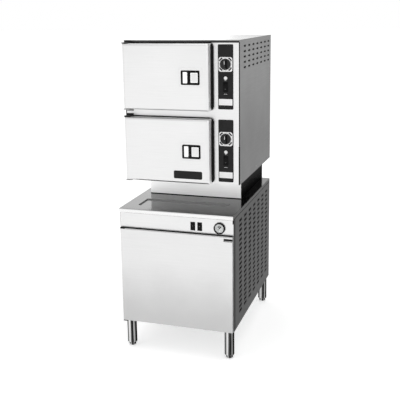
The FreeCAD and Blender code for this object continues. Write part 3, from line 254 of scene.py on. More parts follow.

# %% [markdown]
# The neck is a plain box of sheet under the casing. Its front is bright like the doors, as painted reflection. Thin
# sheet bows a little between its folds, so the front is shaded as if it leans back, which a bump along its height does
# without a change of shape. Its sides are painted dark as the casing's shadow, darker towards the foot, and its back
# is mill grey.

# %% The neck
def lean(material, degrees):
    """Shades upright sheet as if it leans back by an angle."""
    tree = material.node_tree
    normal = shader_of(material).inputs["Normal"]
    tilt = add(tree, "Bump", {"Height": object_axes(tree)[Z], "Strength": 1.0,
                              "Distance": math.tan(math.radians(degrees)),
                              "Normal": normal.links[0].from_socket}, invert=True)
    tree.links.new(tilt.outputs[0], normal)


def height_blend(material, low_mm, high_mm, low_hex, high_hex):
    """A colour that changes smoothly between two heights, as another node's output."""
    tree = material.node_tree
    share = add(tree, "MapRange", {"Value": object_axes(tree)[Z], "From Min": low_mm * MM,
                                   "From Max": high_mm * MM})
    return add(tree, "Mix", {"Factor": share.outputs[0], 6: linear(low_hex), 7: linear(high_hex)},
               data_type="RGBA").outputs[2]


lean(neck_steel, 4.5)
# The sides' colour is painted shadow, darker towards the foot.
for facing in (PLUS, MINUS):
    facing_colour_or_shade(neck_steel, X, facing, height_blend(neck_steel, 785, 900, "#1A1A1A", "#606060"))
facing_colour_or_shade(neck_steel, Y, PLUS, "#8C8C8C")
print("neck", neck_steel.name)

# %% [markdown]
# The cabinet's sides and back are painted dark outside, as reflection. Their inner faces, seen when the door is open,
# are plain mill finish. The first 38 mm behind the door, where each side is folded round the frame, are painted
# darkest, as shade.

# %% The cabinet's sides
inner_grey, fold_shade = "#B0B0B0", "#323232"
facing_colour_or_shade(base_side_steel, X, MINUS, inner_grey, {X: (250, 310)})
facing_colour_or_shade(base_side_steel, X, PLUS, inner_grey, {X: (-310, -250)})
facing_colour_or_shade(base_side_steel, Y, MINUS, inner_grey, {Y: (400, 430), X: (-303, 303)})
# Painted shade on the front folds.
for facing, across in ((PLUS, (290, 310)), (MINUS, (-310, -290))):
    facing_colour_or_shade(base_side_steel, X, facing, fold_shade, {X: across, Y: (-420, -382)})
print("cabinet sides", base_side_steel.name)

# %% [markdown]
# The cabinet door and the casing's sides are painted lighter at the top, where they face the light, and darker below,
# as painted shade. A noise as wide as a hand makes the change uneven.

# %% Sheets with painted shade downwards
def paint_shade_downwards(material, top_z, foot_z, foot_colour):
    """Paints shade on a sheet, darkening it between two heights in millimetres."""
    tree = material.node_tree
    place = add(tree, "TexCoord").outputs["Object"]
    height = add(tree, "SeparateXYZ", {0: place}).outputs[Z]
    unevenness = 0.12
    cloud = add(tree, "TexNoise", {"Vector": place, "Scale": 1 / (150 * MM), "Detail": 3.0})
    uneven = add(tree, "Math", {0: cloud.outputs[0], 1: unevenness, 2: height}, operation="MULTIPLY_ADD")
    low = add(tree, "MapRange", {"Value": uneven.outputs[0], "From Min": top_z * MM + unevenness / 2,
                                 "From Max": foot_z * MM + unevenness / 2},
              interpolation_type="SMOOTHSTEP")
    paint(material, low.outputs[0], foot_colour)


paint_shade_downwards(base_door_steel, 560, 150, "#BDBDBD")
paint_shade_downwards(casing_side_steel, 1500, 1000, "#727272")
print("fading sheets", base_door_steel.name, casing_side_steel.name)

# %% [markdown]
# ## The shade in the louvres
# The sheet round a pressed louvre bends away from the light and shows a soft dark stroke. The bend is finer than the
# packed panels, so the stroke is painted, at the pitch of the real slots. They stand in seven columns, and a pattern
# says where the last column ends, how high its first row is, how many rows there are, and how far apart columns and
# rows lie.

# %% Louvre shade
columns = 7
cabinet_louvres = (353.0, 718.0, 20, 101.4, 26.0)
casing_louvres = (383.0, 1592.0, 5, 91.7, 26.3)


def near(tree, place, middle, pitch, count, half):
    """One on a row of places with a pitch, fading to nothing just past half a size from each of them."""
    shifted = add(tree, "Math", {0: place, 1: (middle + pitch / 2) * MM}, operation="SUBTRACT")
    number = add(tree, "Math", {0: shifted.outputs[0], 1: -pitch * MM}, operation="DIVIDE")
    share = add(tree, "Math", {0: number.outputs[0]}, operation="FRACT")
    off = add(tree, "Math", {0: share.outputs[0], 1: 0.5}, operation="SUBTRACT")
    far = add(tree, "Math", {0: off.outputs[0]}, operation="ABSOLUTE")
    on = add(tree, "MapRange", {"Value": far.outputs[0], "From Min": (half - 1) / pitch,
                                "From Max": (half + 1) / pitch, "To Min": 1.0, "To Max": 0.0})
    return inside(tree, number.outputs[0], 0.0, float(count), on.outputs[0])


def louvre_shade(material, pattern, from_rear, half_long, half_high, strength):
    """Darkens the sheet round each louvre of a pattern, and less so towards the back of the machine."""
    last_y, first_z, rows, pitch_y, pitch_z = pattern
    tree = material.node_tree
    place = object_axes(tree)
    along = near(tree, place[Y], last_y - from_rear, pitch_y, columns, half_long)
    across = near(tree, place[Z], first_z, pitch_z, rows, half_high)
    fading = add(tree, "MapRange", {"Value": place[Y], "From Min": -300 * MM, "From Max": 400 * MM,
                                    "To Min": strength, "To Max": strength * 0.7})
    shade = add(tree, "Math", {0: along, 1: across}, operation="MULTIPLY")
    shade = add(tree, "Math", {0: shade.outputs[0], 1: fading.outputs[0]}, operation="MULTIPLY")
    paint(material, shade.outputs[0], "#080808")


louvre_shade(base_side_steel, cabinet_louvres, 23.0, 28.0, 8.5, 0.96)
louvre_shade(casing_side_steel, casing_louvres, 14.0, 15.0, 6.0, 0.9)
print("shaded louvres on a side", columns * cabinet_louvres[2], "and", columns * casing_louvres[2])

# %% [markdown]
# ## Plain finishes
# The other finishes share one recipe: a base colour that drifts a little, a roughness that varies over a few
# centimetres, and a fine grain in the surface. What differs is the metal or plastic, how smooth its making left it,
# and how coarse its grain is. The latch paddle is the first: it is polished by hand, so it is the brightest piece.

# %% Plain finish
def plain_finish(name, dark, light, metallic, rough, spread=0.05, grain_mm=0.6, relief_mm=0.01, specular=0.5):
    """A finish with slight colour and gloss variation and a fine surface grain."""
    material, tree = new_material(name)
    place = add(tree, "TexCoord").outputs["Object"]
    cloud = add(tree, "TexNoise", {"Vector": place, "Scale": 1 / (40 * MM), "Detail": 3.0})
    grain = add(tree, "TexNoise", {"Vector": place, "Scale": 1 / (grain_mm * MM), "Detail": 2.0})
    tone = add(tree, "MapRange", {"Value": cloud.outputs[0], "From Min": 0.35, "From Max": 0.65})
    colour = add(tree, "Mix", {"Factor": tone.outputs[0], 6: linear(dark), 7: linear(light)}, data_type="RGBA")
    gloss = add(tree, "MapRange", {"Value": cloud.outputs[0], "From Min": 0.3, "From Max": 0.7,
                                   "To Min": rough - spread, "To Max": rough + spread})
    bump = add(tree, "Bump", {"Height": grain.outputs[0], "Strength": 0.3, "Distance": relief_mm * MM})
    surface(tree, {"Base Color": colour.outputs[2], "Roughness": gloss.outputs[0], "Normal": bump.outputs[0],
                   "Metallic": metallic, "Specular IOR Level": specular})
    return material


bright_steel = plain_finish("stainless_polished_paddle", "#ECECEC", "#F4F4F4", 1.0, 0.25, 0.04, 1.0, 0.004)
print("first plain finish", bright_steel.name)

# %% [markdown]
# The face of the paddle's wide wing has a satin grain. Slides, screws and the element flange are zinc plated, a softer
# and bluer grey. Valves and nuts are turned from brass, and the steam lines are drawn copper tube: both are warm, with
# a fine grain from the tool or the die.

# %% Metal parts
satin_steel = plain_finish("stainless_satin_paddle_wing", "#DADADA", "#E2E2E2", 1.0, 0.4, 0.04, 1.0, 0.004)
grey_steel = plain_finish("steel_zinc_plated", "#9C9EA0", "#AAACAE", 1.0, 0.36, 0.06, 0.8, 0.01)
brass = plain_finish("brass_machined", "#B99655", "#C9A768", 1.0, 0.32, 0.06, 0.5, 0.01)
copper = plain_finish("copper_drawn_tube", "#B87958", "#C98B69", 1.0, 0.3, 0.07, 0.8, 0.01)
print("metal parts", satin_steel.name, grey_steel.name, brass.name, copper.name)

# %% [markdown]
# The black pieces differ in how they catch light. Black oxide on the hinge brackets is a dull conversion coat, the
# control strips are enamelled with a satin sheen, nylon comes out of a sparked mould with a grain of about 0.3 mm, the
# phenolic knobs are glossier, and silicone rubber hardly shines. Deep in a louvre the sheet is painted near black, as
# shade.
# Two of the brackets, between the doors and under the lower one, are bright zinc, picked by their height.

# %% Black parts
black_steel = plain_finish("steel_black_oxide_brackets", "#0E0E0E", "#181818", 0.0, 0.4, 0.06, 0.8, 0.01, 0.3)
black_enamel = plain_finish("steel_black_satin_enamel", "#181818", "#202020", 0.0, 0.5, 0.04, 0.5, 0.006, 0.2)
black_nylon = plain_finish("nylon_black_moulded", "#050505", "#090909", 0.0, 0.5, 0.06, 0.3, 0.02, 0.15)
black_knob = plain_finish("phenolic_black_moulded", "#0A0A0A", "#101010", 0.0, 0.3, 0.05, 0.3, 0.006, 0.35)
black_rubber = plain_finish("silicone_rubber_black", "#050505", "#0A0A0A", 0.0, 0.7, 0.06, 0.4, 0.02, 0.15)
# Painted shade for the deep end of each louvre.
louvre_depth_shade = plain_finish("stainless_painted_shade_in_louvres", "#080808", "#101010", 0.0, 0.8, 0.06, 2.0, 0.01, 0.1)
bracket_height = 31.0
for bracket_z in (1259.0, 889.0):
    tree = black_steel.node_tree
    at_bracket = inside(tree, object_axes(tree)[Z], bracket_z * MM, (bracket_z + bracket_height) * MM)
    paint(black_steel, at_bracket, "#B8B8B8")
print("black parts", black_steel.name, black_enamel.name, black_nylon.name, black_rubber.name)

# %% [markdown]
# Prints are screen printed enamel, an even and slightly glossy film. The pilot lamps have smooth polycarbonate lenses.

# %% Prints and lamps
white_print = plain_finish("enamel_white_screen_printed", "#F9F9F9", "#FFFFFF", 0.0, 0.35, 0.05, 0.3, 0.003, 0.9)
grey_print = plain_finish("enamel_grey_screen_printed", "#6E6E6E", "#7C7C7C", 0.0, 0.5, 0.05, 0.3, 0.003, 0.4)
white_lens = plain_finish("polycarbonate_white_lamp", "#F2F2F2", "#FAFAFA", 0.0, 0.2, 0.04, 0.4, 0.003, 0.5)
print("prints and lamps", white_print.name, grey_print.name, white_lens.name)

# %% [markdown]
# The gauge's window and the sight glass on the boiler are clear float glass, wiped but not quite clean: a noise of
# 12 mm varies a very low roughness. Light that only passes through goes straight on, so that the dial behind the glass
# isn't left in a shadow that thin glass doesn't throw.

# %% Glass
glass, tree = new_material("glass_float_clear")
smear = add(tree, "TexNoise", {"Vector": add(tree, "TexCoord").outputs["Object"], "Scale": 1 / (12 * MM)})
wiped = add(tree, "MapRange", {"Value": smear.outputs[0], "To Min": 0.01, "To Max": 0.05})
pane = add(tree, "BsdfPrincipled", {"Base Color": linear("#F7FAF9"), "Roughness": wiped.outputs[0],
                                    "IOR": 1.52, "Transmission Weight": 1.0})
path = add(tree, "LightPath")
lets_by = add(tree, "Math", {0: path.outputs["Is Shadow Ray"], 1: path.outputs["Is Diffuse Ray"]},
              operation="MAXIMUM")
clear = add(tree, "MixShader", {0: lets_by.outputs[0], 1: pane.outputs[0],
                                2: add(tree, "BsdfTransparent").outputs[0]})
add(tree, "OutputMaterial", {"Surface": clear.outputs[0]})
print("glass bends light by", round(pane.inputs["IOR"].default_value, 2))

# %% [markdown]
# The legs are drawn tube with a bright chrome plating. Drawing leaves faint lines along a tube. They are too fine to
# show, so they are drawn 4 mm wide. They vary the gloss and make the edges of the reflections wander a little.

# %% Chromed tube
chrome, tree = new_material("steel_tube_chrome_plated")
facing = add(tree, "SeparateXYZ", {0: add(tree, "NewGeometry").outputs["True Normal"]})
forward = add(tree, "Math", {0: facing.outputs[Y], 1: -1.0}, operation="MULTIPLY")
around = add(tree, "Math", {0: facing.outputs[X], 1: forward.outputs[0]}, operation="ARCTAN2")
place = add(tree, "TexCoord").outputs["Object"]
line_mm = (4, 4, 200)
lines = add(tree, "Mapping", {"Vector": place, "Scale": [1 / (size * MM) for size in line_mm]})
drawn = add(tree, "TexNoise", {"Vector": lines.outputs[0], "Scale": 1.0})
wander_by, usual_wander = 0.35, 0.17
wander = add(tree, "Math", {0: drawn.outputs[0], 1: wander_by, 2: around.outputs[0]}, operation="MULTIPLY_ADD")
share = add(tree, "MapRange", {"Value": wander.outputs[0], "From Min": usual_wander - math.pi,
                               "From Max": usual_wander + math.pi})
gloss = add(tree, "MapRange", {"Value": drawn.outputs[0], "From Min": 0.3, "From Max": 0.7,
                               "To Min": 0.1, "To Max": 0.18})
print("drawn lines", line_mm[0], "mm wide and", line_mm[2], "mm long")

# %% [markdown]
# Bright tube shows upright light and dark bands, because every strip of its surface mirrors another part of the room.
# The plain floor here has nothing to mirror, so the bands are painted reflection: soft bands of tone on the plating,
# set by the way the surface faces round the leg, and a dark edge tint. An angle of 0 faces the front of the machine,
# and
# 90 faces its right.

# %% Painted reflection bands round the legs
reflection_bands_deg = ((-180, "#707070"), (-140, "#B8B8B8"), (-105, "#343434"), (-46, "#1E1E1E"), (-26, "#A8A8A8"),
             (-8, "#E0E0E0"), (8, "#606060"), (17, "#222222"), (34, "#1E1E1E"), (46, "#B8B8B8"), (57, "#606060"),
             (72, "#101010"), (95, "#606060"), (120, "#202020"), (150, "#B4B4B4"), (180, "#707070"))
bands = add(tree, "ValToRGB", {"Fac": share.outputs[0]})
ramp = bands.color_ramp
ramp.interpolation = "EASE"
while len(ramp.elements) < len(reflection_bands_deg):
    ramp.elements.new(0.5)
for stop, (angle_deg, tone) in zip(ramp.elements, reflection_bands_deg):
    stop.position = (angle_deg + 180) / 360
    stop.color = linear(tone)
surface(tree, {"Base Color": bands.outputs[0], "Roughness": gloss.outputs[0], "Metallic": 1.0})
edge_tint(chrome, "#202020")
print("leg bands", len(ramp.elements))

# %% [markdown]
# ## Finishes on the frame
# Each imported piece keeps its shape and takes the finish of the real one. A table of finishes and the pieces that
# wear them is easier to check against the photograph than sixty separate lines. The four plain feet aren't in it,
# because turned ones stand for them further on.

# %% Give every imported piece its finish
wears = {
    door_steel: ["upper_door_skin", "lower_door_skin", "face_frame", "fascia_panel"],
    base_door_steel: ["base_door"],
    casing_side_steel: ["upper_side_panel_left", "upper_side_panel_right", "upper_back_panel"],
    base_side_steel: ["base_side_panel_left", "base_side_panel_right", "base_back_panel"],
    top_steel: ["base_top"],
    casing_top_steel: ["upper_top_panel", "upper_bottom_panel"],
    neck_steel: ["neck_shell"],
    inner_steel: ["upper_door_liner", "lower_door_liner", "upper_compartment", "lower_compartment", "pan_racks",
                  "base_frame", "bottom_pan", "control_box", "boiler_vessel"],
    chrome: ["legs"],
    bright_steel: ["upper_latch_paddle", "lower_latch_paddle"],
    grey_steel: ["upper_latch_slide", "lower_latch_slide", "heating_elements", "relief_lever"],
    black_steel: ["hinge_brackets"],
    black_enamel: ["control_strips", "gauge_needle"],
    black_nylon: ["gauge_case", "upper_latch_bezel", "lower_latch_bezel", "switch_bodies", "timer_bodies",
                  "upper_rocker", "lower_rocker", "base_rocker_left", "base_rocker_right"],
    black_knob: ["upper_timer_knob", "lower_timer_knob"],
    black_rubber: ["upper_door_gasket", "lower_door_gasket"],
    white_print: ["gauge_dial"],
    white_lens: ["pilot_lamps"],
    brass: ["solenoid_valves", "gauge_cocks", "relief_valve"],
    copper: ["copper_pipes", "drain_pipe"],
    glass: ["gauge_lens", "sight_glass"],
}
for finish, names in wears.items():
    for name in names:
        nodes[name].data.materials.clear()
        nodes[name].data.materials.append(finish)
bare = sorted(name for name in nodes if not any(name in names for names in wears.values()))
print("pieces without a finish:", bare)

# %% [markdown]
# ## Small pieces
# The pieces that only the eye needs are built point by point, as meshes. One function turns each into an object that
# rides on a body, with its finish.

# %% Turn a mesh into a piece
def new_object(name, data):
    """An object for a mesh, a lamp or a camera, linked to the scene."""
    made = bpy.data.objects.new(name, data)
    bpy.context.scene.collection.objects.link(made)
    return made


def finish_piece(name, build, finish, body, smooth=False):
    """Turns a bmesh into an object that rides on a body, with a finish."""
    bmesh.ops.recalc_face_normals(build, faces=build.faces)
    mesh = bpy.data.meshes.new(name)
    build.to_mesh(mesh)
    build.free()
    mesh.materials.append(finish)
    if smooth:
        mesh.shade_smooth()
    piece = new_object(name, mesh)
    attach(piece, body)
    return piece


cabinet_side, casing_side = 304.8, 303.4
print("side faces at", cabinet_side, "and", casing_side, "mm from the middle")

# %% [markdown]
# ## Louvres
# Each louvre is lanced and pressed inward: the sheet is cut along both long edges and across the rear end, and a punch
# pushes it in as a scoop that gets deeper towards the rear. From the front right it shows a soft shadow that ends in a
# dark hole. The slots are already in the side panels, so one mesh of scoops per panel closes them from behind. Each
# scoop is a small grid of points, pushed inward by a curve along it and a rounder one across it.

# %% Louvre scoops
louvre_length = 46.0
scoop_half, scoop_depth = 3.5, 9.0
scoop_steps, scoop_across = 8, 6
scoop_overlap, scoop_below_face = 0.3, 0.2


def louvre_scoops(name, finish, face_x, pattern, bend, dark_from):
    """The pressed scoops of one side panel, whose outer face lies at face_x.

    A low bend makes a scoop deep over most of its length, and a high one only at its rear. Past dark_from of its
    length the steel is painted near black, as shade."""
    last_y, first_z, rows, pitch_y, pitch_z = pattern
    build = bmesh.new()
    inward = -1 if face_x > 0 else 1
    for column in range(columns):
        rear = last_y - column * pitch_y
        for row in range(rows):
            z = first_z - row * pitch_z
            grid = []
            for step in range(scoop_steps + 1):
                along = step / scoop_steps
                depth = scoop_depth * along ** bend
                line = []
                for k in range(scoop_across + 1):
                    across = 2 * k / scoop_across - 1
                    bowl = 1 - abs(across) ** 3
                    line.append(build.verts.new(mm(face_x + inward * (scoop_below_face + depth * bowl),
                                                   rear - louvre_length + louvre_length * along,
                                                   z + (scoop_half + scoop_overlap) * across)))
                grid.append(line)
            for step, (a, b) in enumerate(zip(grid, grid[1:])):
                for k in range(scoop_across):
                    face = build.faces.new((a[k], a[k + 1], b[k + 1], b[k]))
                    face.material_index = 1 if step / scoop_steps >= dark_from else 0
    piece = finish_piece(name, build, finish, "root", smooth=True)
    piece.data.materials.append(louvre_depth_shade)


for side, sign in (("left", -1), ("right", 1)):
    louvre_scoops("base_louvre_scoops_" + side, base_side_steel, sign * cabinet_side, cabinet_louvres, 0.6, 0.0)
    louvre_scoops("casing_vent_scoops_" + side, casing_side_steel, sign * casing_side, casing_louvres, 1.0, 0.35)
print("louvres on each side", columns * cabinet_louvres[2], "below and", columns * casing_louvres[2], "above")

# %% [markdown]
# ## Prints and thin plates
# A print is a film less than half a millimetre thick, and a rim is a thin pressed plate. Both start from a flat
# outline, and these are all the outlines that the machine needs.

# %% Flat outlines
def rounded_outline(width, height, radius, steps=6):
    """The corner points of a rectangle with rounded corners, in millimetres about its centre."""
    points = []
    for number, (sx, sz) in enumerate(((1, 1), (-1, 1), (-1, -1), (1, -1))):
        for step in range(steps + 1):
            angle = math.radians(90 * number + 90 * step / steps)
            points.append((sx * (width / 2 - radius) + radius * math.cos(angle),
                           sz * (height / 2 - radius) + radius * math.sin(angle)))
    return points


def ring_outline(radius, steps=32):
    """Points round a circle, in millimetres."""
    return [(radius * math.cos(2 * math.pi * k / steps), radius * math.sin(2 * math.pi * k / steps))
            for k in range(steps)]


def arc_outline(inner, outer, middle_deg, half_deg, steps=8):
    """The outline of a bent bar between two radii."""
    angles = [math.radians(middle_deg - half_deg + 2 * half_deg * k / steps) for k in range(steps + 1)]
    return ([(outer * math.cos(a), outer * math.sin(a)) for a in angles]
            + [(inner * math.cos(a), inner * math.sin(a)) for a in reversed(angles)])


def bar(width, height):
    """The outline of a plain bar."""
    return [(-width / 2, -height / 2), (width / 2, -height / 2), (width / 2, height / 2), (-width / 2, height / 2)]


print("points round a rounded corner", len(rounded_outline(70, 71, 12)) // 4)

# %% [markdown]
# A plate is its outline pushed forward: rings of points, each joined to the next. Larger ones have a chamfered rim, so
# that their edge catches the light, and some have a hole.

# %% Stamped plates
def join_rings(build, rings, closed=True):
    """Makes faces between each ring of points and the next, and over both ends. A ring of one point is a tip."""
    for low, high in zip(rings, rings[1:]):
        for k in range(max(len(low), len(high))):
            corners = (low[k % len(low)], low[(k + 1) % len(low)], high[(k + 1) % len(high)], high[k % len(high)])
            build.faces.new(list(dict.fromkeys(corners)))
    for end in (rings[0], rings[-1]):
        if closed and len(end) > 1:
            build.faces.new(end)


def stamp(build, outline, place, thick, chamfer=0, hole=None):
    """Adds a plate that faces forward, from its outline in X and Z about a place in the middle of its back.

    It can have a chamfered rim and a hole, and all sizes are in millimetres."""
    centre = Vector(place)

    def loop(points, shrink, depth):
        made = []
        for x, z in points:
            share = 1 - shrink / math.hypot(x, z)
            made.append(build.verts.new((centre + Vector((x * share, -depth, z * share))) * MM))
        return made

    rings = [loop(outline, 0, 0), loop(outline, 0, thick - chamfer)]
    if chamfer:
        rings.append(loop(outline, chamfer, thick))
    join_rings(build, rings, closed=hole is None)
    if hole is None:
        return
    walls = [loop(hole, 0, 0), loop(hole, 0, thick)]
    join_rings(build, walls, closed=False)
    for outer, inner in ((rings[-1], walls[-1]), (rings[0], walls[0])):
        edges = [build.edges.get(pair) for points in (outer, inner) for pair in zip(points, points[1:] + points[:1])]
        bmesh.ops.triangle_fill(build, edges=edges, use_beauty=True)


print_thick, mark_thick = 0.4, 0.2
print("a print is", print_thick, "mm thick and a mark", mark_thick, "mm")

# %% [markdown]
# ## Control strips
# Each black strip carries a white printed timer dial with dark arcs at its corners, two short printed marks round the
# rocker and a plain white band. Twelve small dots stand round the knob.

# %% Strip prints
strip_x, strip_face = 232.4, -293.0
levels = {"lower": 1075.0, "upper": 1445.0}
knob_up = 63.0
dot_reach = 30.2

for level, centre in levels.items():
    build = bmesh.new()
    stamp(build, rounded_outline(70, 71, 12), (strip_x, strip_face, centre + knob_up - 1.0), print_thick, 0.1,
          hole=ring_outline(7, 24))
    stamp(build, rounded_outline(70, 31, 1.5), (strip_x, strip_face, centre - 123.0), print_thick, 0.1)
    stamp(build, bar(9, 1.2), (strip_x, strip_face, centre - 17.0), print_thick)
    stamp(build, bar(17, 1.1), (strip_x, strip_face, centre - 83.0), print_thick)
    finish_piece(level + "_strip_prints", build, white_print, "root")
    build = bmesh.new()
    dial = Vector((strip_x, strip_face - print_thick, centre + knob_up))
    for corner in (45, 135, 225, 315):
        stamp(build, arc_outline(31.0, 37.6, corner, 17), dial, mark_thick)
    for minute in range(12):
        angle = math.radians(90 - minute * 30)
        dot = dial + dot_reach * Vector((math.cos(angle), 0, math.sin(angle)))
        stamp(build, bar(1.2, 1.2), dot, mark_thick)
    finish_piece(level + "_dial_marks", build, black_enamel, "root")
print("strip prints on", list(levels))

# %% [markdown]
# The pointer on a timer knob is a white line let into its grip, and a rocker has a mark moulded in. They ride with the
# knob and the rocker, so they turn with them. A rocker's face has two halves that lean by 10 degrees, so its mark is
# bent to the same lean and then tilted with the half that it lies on.

# %% Knob pointers and rocker marks
knob_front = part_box("upper_timer_knob")[0].y / MM
for level, centre in levels.items():
    build = bmesh.new()
    stamp(build, bar(2.2, 16), (strip_x, knob_front + 0.2, centre + knob_up + 8.0), 0.5)
    finish_piece(level + "_knob_pointer", build, white_print, level + "_timer_knob")

rocker_lean = math.radians(10)
rocker_nose, rocker_pivot_depth = 2.6, 5.0


def rocker_mark(name, body, x, face, z, reach, mark):
    """One short bar near the lower end of a rocker, tilted with that half."""
    build = bmesh.new()
    stamp(build, mark, (0, 0, -reach * 0.5), 0.25)
    pivot = mm(0, rocker_nose + rocker_pivot_depth, 0)
    spin = Matrix.Rotation(-rocker_lean, 4, "X")
    for vertex in build.verts:
        vertex.co.y += abs(vertex.co.z) * math.tan(rocker_lean)
        vertex.co = spin @ (vertex.co - pivot) + pivot + mm(x, face - rocker_nose, z)
    finish_piece(name, build, grey_print, body)


for level, centre in levels.items():
    rocker_mark(level + "_rocker_marks", level + "_rocker", strip_x, strip_face, centre - 47.7, 24.0, bar(6, 1.4))
fascia_face, fascia_control_z = -415.0, 708.0
for side, x in (("left", 92.0), ("right", 128.5)):
    rocker_mark("base_rocker_marks_" + side, "base_rocker_" + side, x, fascia_face, fascia_control_z, 0.0, bar(3, 3))
print("knob front at", round(knob_front, 1), "mm")

# %% [markdown]
# ## Door furniture
# The lower door carries a plain black enamelled plate. Round each latch bezel a shallow pressed rim shows as a thin
# bright line, and the wide wing of the paddle has a polished rim round a satin face.

# %% Plate, latch rims and wings
door_face = -349.5
wing_face = -350.0
wing_x = 88.8
build = bmesh.new()
stamp(build, rounded_outline(151, 41, 7), (48.5, door_face, 954.5), 1.6, 0.5)
finish_piece("bare_plate", build, black_enamel, "lower_door")
for level, centre in levels.items():
    build = bmesh.new()
    stamp(build, rounded_outline(122, 94, 5), (70.0, door_face, centre + 2.0), 0.7, 0.5,
          hole=rounded_outline(117, 89, 3))
    finish_piece(level + "_latch_rim", build, satin_steel, level + "_door")
    build = bmesh.new()
    stamp(build, rounded_outline(37, 48.6, 2), (wing_x, wing_face, centre), 0.5, 0.2,
          hole=rounded_outline(30, 41.6, 1.5))
    finish_piece(level + "_wing_rim", build, bright_steel, level + "_latch_paddle")
    build = bmesh.new()
    stamp(build, rounded_outline(29.6, 41.2, 1.5), (wing_x, wing_face, centre), 0.2, 0.1)
    finish_piece(level + "_wing_face", build, satin_steel, level + "_latch_paddle")
print("latch rims and wings on", list(levels))

# %% [markdown]
# The gasket is a moulding with a soft bulb along its free edge, which is the black line beside each door in the
# photograph. The bulb is a flattened bar swept along a path: up from the foot of the door, round two corners and
# back along its top.

# %% Gasket bulbs
bulb_out, bulb_deep = 8.5, 7.0
bulb_y = -297.5


def sweep(build, path, sides=14):
    """A bar along a list of points in a plane that faces forward, flattened to the bulb's two half sizes."""
    rings = []
    for k, point in enumerate(path):
        ahead = (path[min(k + 1, len(path) - 1)] - path[max(k - 1, 0)]).normalized()
        outward = Vector((ahead.z, 0, -ahead.x))
        rings.append([build.verts.new((point + outward * bulb_out * math.cos(2 * math.pi * i / sides)
                                       + Vector((0, bulb_deep * math.sin(2 * math.pi * i / sides), 0))) * MM)
                      for i in range(sides)])
    join_rings(build, rings)


half, right, corner = 160.0, 163.0, 14.0
for level, centre in levels.items():
    path = [Vector((100.0, bulb_y, centre - half))]
    for z, first_deg in ((centre - half + corner, -90), (centre + half - corner, 0)):
        for angle in (math.radians(first_deg + step) for step in range(0, 91, 15)):
            path.append(Vector((right - corner + corner * math.cos(angle), bulb_y, z + corner * math.sin(angle))))
    path.append(Vector((-262.0, bulb_y, centre + half)))
    build = bmesh.new()
    sweep(build, path)
    finish_piece(level + "_gasket_bulb", build, black_rubber, level + "_door", smooth=True)
print("gasket bulbs", 2 * bulb_out, "by", 2 * bulb_deep, "mm")

# %% [markdown]
# ## Painted seam shade
# Black strips stand in the seams as painted shade: under the folded edge of the casing top, down both front corners,
# in the gap above the cabinet door and along the neck's foot. A bright stop strip lies under the strip over the
# cabinet door, and the finger pull's pocket has a black back as painted shadow. All are straight bars with softened
# edges.

# %% Painted seam shade, stop strip and the finger pull's painted shadow
def strips(name, boxes, finish, body):
    """Straight bars with chamfered edges, each from its low and high corner in millimetres."""
    build = bmesh.new()
    for low, high in boxes:
        middle, size = (mm(*low) + mm(*high)) / 2, mm(*high) - mm(*low)
        bmesh.ops.create_cube(build, size=1.0, matrix=Matrix.LocRotScale(middle, None, size))
    bmesh.ops.bevel(build, geom=build.edges[:], offset=0.3 * MM, segments=2, affect="EDGES", profile=0.5)
    finish_piece(name, build, finish, body)


# Black strips as painted shade in the seams and gaps; the finger pull's black back is painted shadow.
strips("casing_seam_shade", [((-303, -291.2, 1611.6), (303, -289.9, 1614.2)),
                        ((299.6, -291.2, 1100.0), (304.2, -288.0, 1614.0)),
                        ((298.4, -291.6, 903.5), (304.4, -286.0, 1100.0)),
                        ((-304.2, -291.2, 903.5), (-299.6, -288.0, 1614.0))],
       black_rubber, "root")
strips("cabinet_door_gap_shade", [((-300, -427.0, 670.5), (300, -415.2, 673.8)),
                             ((299.6, -417.0, 734.0), (304.5, -414.9, 753.8))],
       black_rubber, "root")
strips("door_stop_strip", [((-300, -427.0, 667.6), (300, -415.2, 670.3))], satin_steel, "root")
strips("neck_foot_shade", [((-258.6, -92.2, 776.0), (258.6, -89.9, 779.4))], black_rubber, "root")
strips("finger_pull_shade", [((257.0, -421.0, 646.4), (300.2, -419.2, 659.6))], black_nylon, "base_door")

# %% [markdown]
# ## Pressure gauge
# A white enamelled dial with a ring of ticks and a heavier arc, seen through glass, and a black moulded rim. The ticks
# are spread over 270 degrees, as on any round gauge, with a longer one at every fifth.

# %% Gauge marks and rim
gauge = Vector((232.0, fascia_face, fascia_control_z))
mark = 0.3
build = bmesh.new()
for tick in range(11):
    tick_foot = 15.4 if tick % 5 else 14.0
    stamp(build, arc_outline(tick_foot, 18.2, 225 - tick * 27, 1.4, 2), gauge, mark)
stamp(build, arc_outline(5.5, 10.5, 90, 80, 16), gauge, mark)
stamp(build, ring_outline(4.0, 20), gauge, mark)
finish_piece("gauge_marks", build, black_enamel, "root")
build = bmesh.new()
stamp(build, arc_outline(12.4, 13.6, 90, 170, 40), gauge, mark)
finish_piece("gauge_scale_ring", build, grey_print, "root")
build = bmesh.new()
stamp(build, ring_outline(29.0, 48), gauge - Vector((0, 8.0, 0)), 1.0, 0.6, hole=ring_outline(23.2, 48))
finish_piece("gauge_rim", build, black_nylon, "root")
print("gauge at", list(gauge))

# %% [markdown]
# ## Turned pieces
# Feet, screws and nuts are turned from bar. A profile spun round an axis makes them, as a lathe does, and a spin in
# six steps makes a hexagon.

# %% Turned pieces
def turn(build, profile, place, axis, sides):
    """Spins a profile of (radius, height) pairs round an axis through a place, all in millimetres."""
    axis = Vector(axis).normalized()
    first = axis.orthogonal().normalized()
    second = axis.cross(first)
    rings = []
    for radius, height in profile:
        centre = Vector(place) + axis * height
        if radius == 0:
            rings.append([build.verts.new(centre * MM)])
            continue
        rings.append([build.verts.new((centre + (first * math.cos(2 * math.pi * k / sides)
                                                 + second * math.sin(2 * math.pi * k / sides)) * radius) * MM)
                      for k in range(sides)])
    join_rings(build, rings)


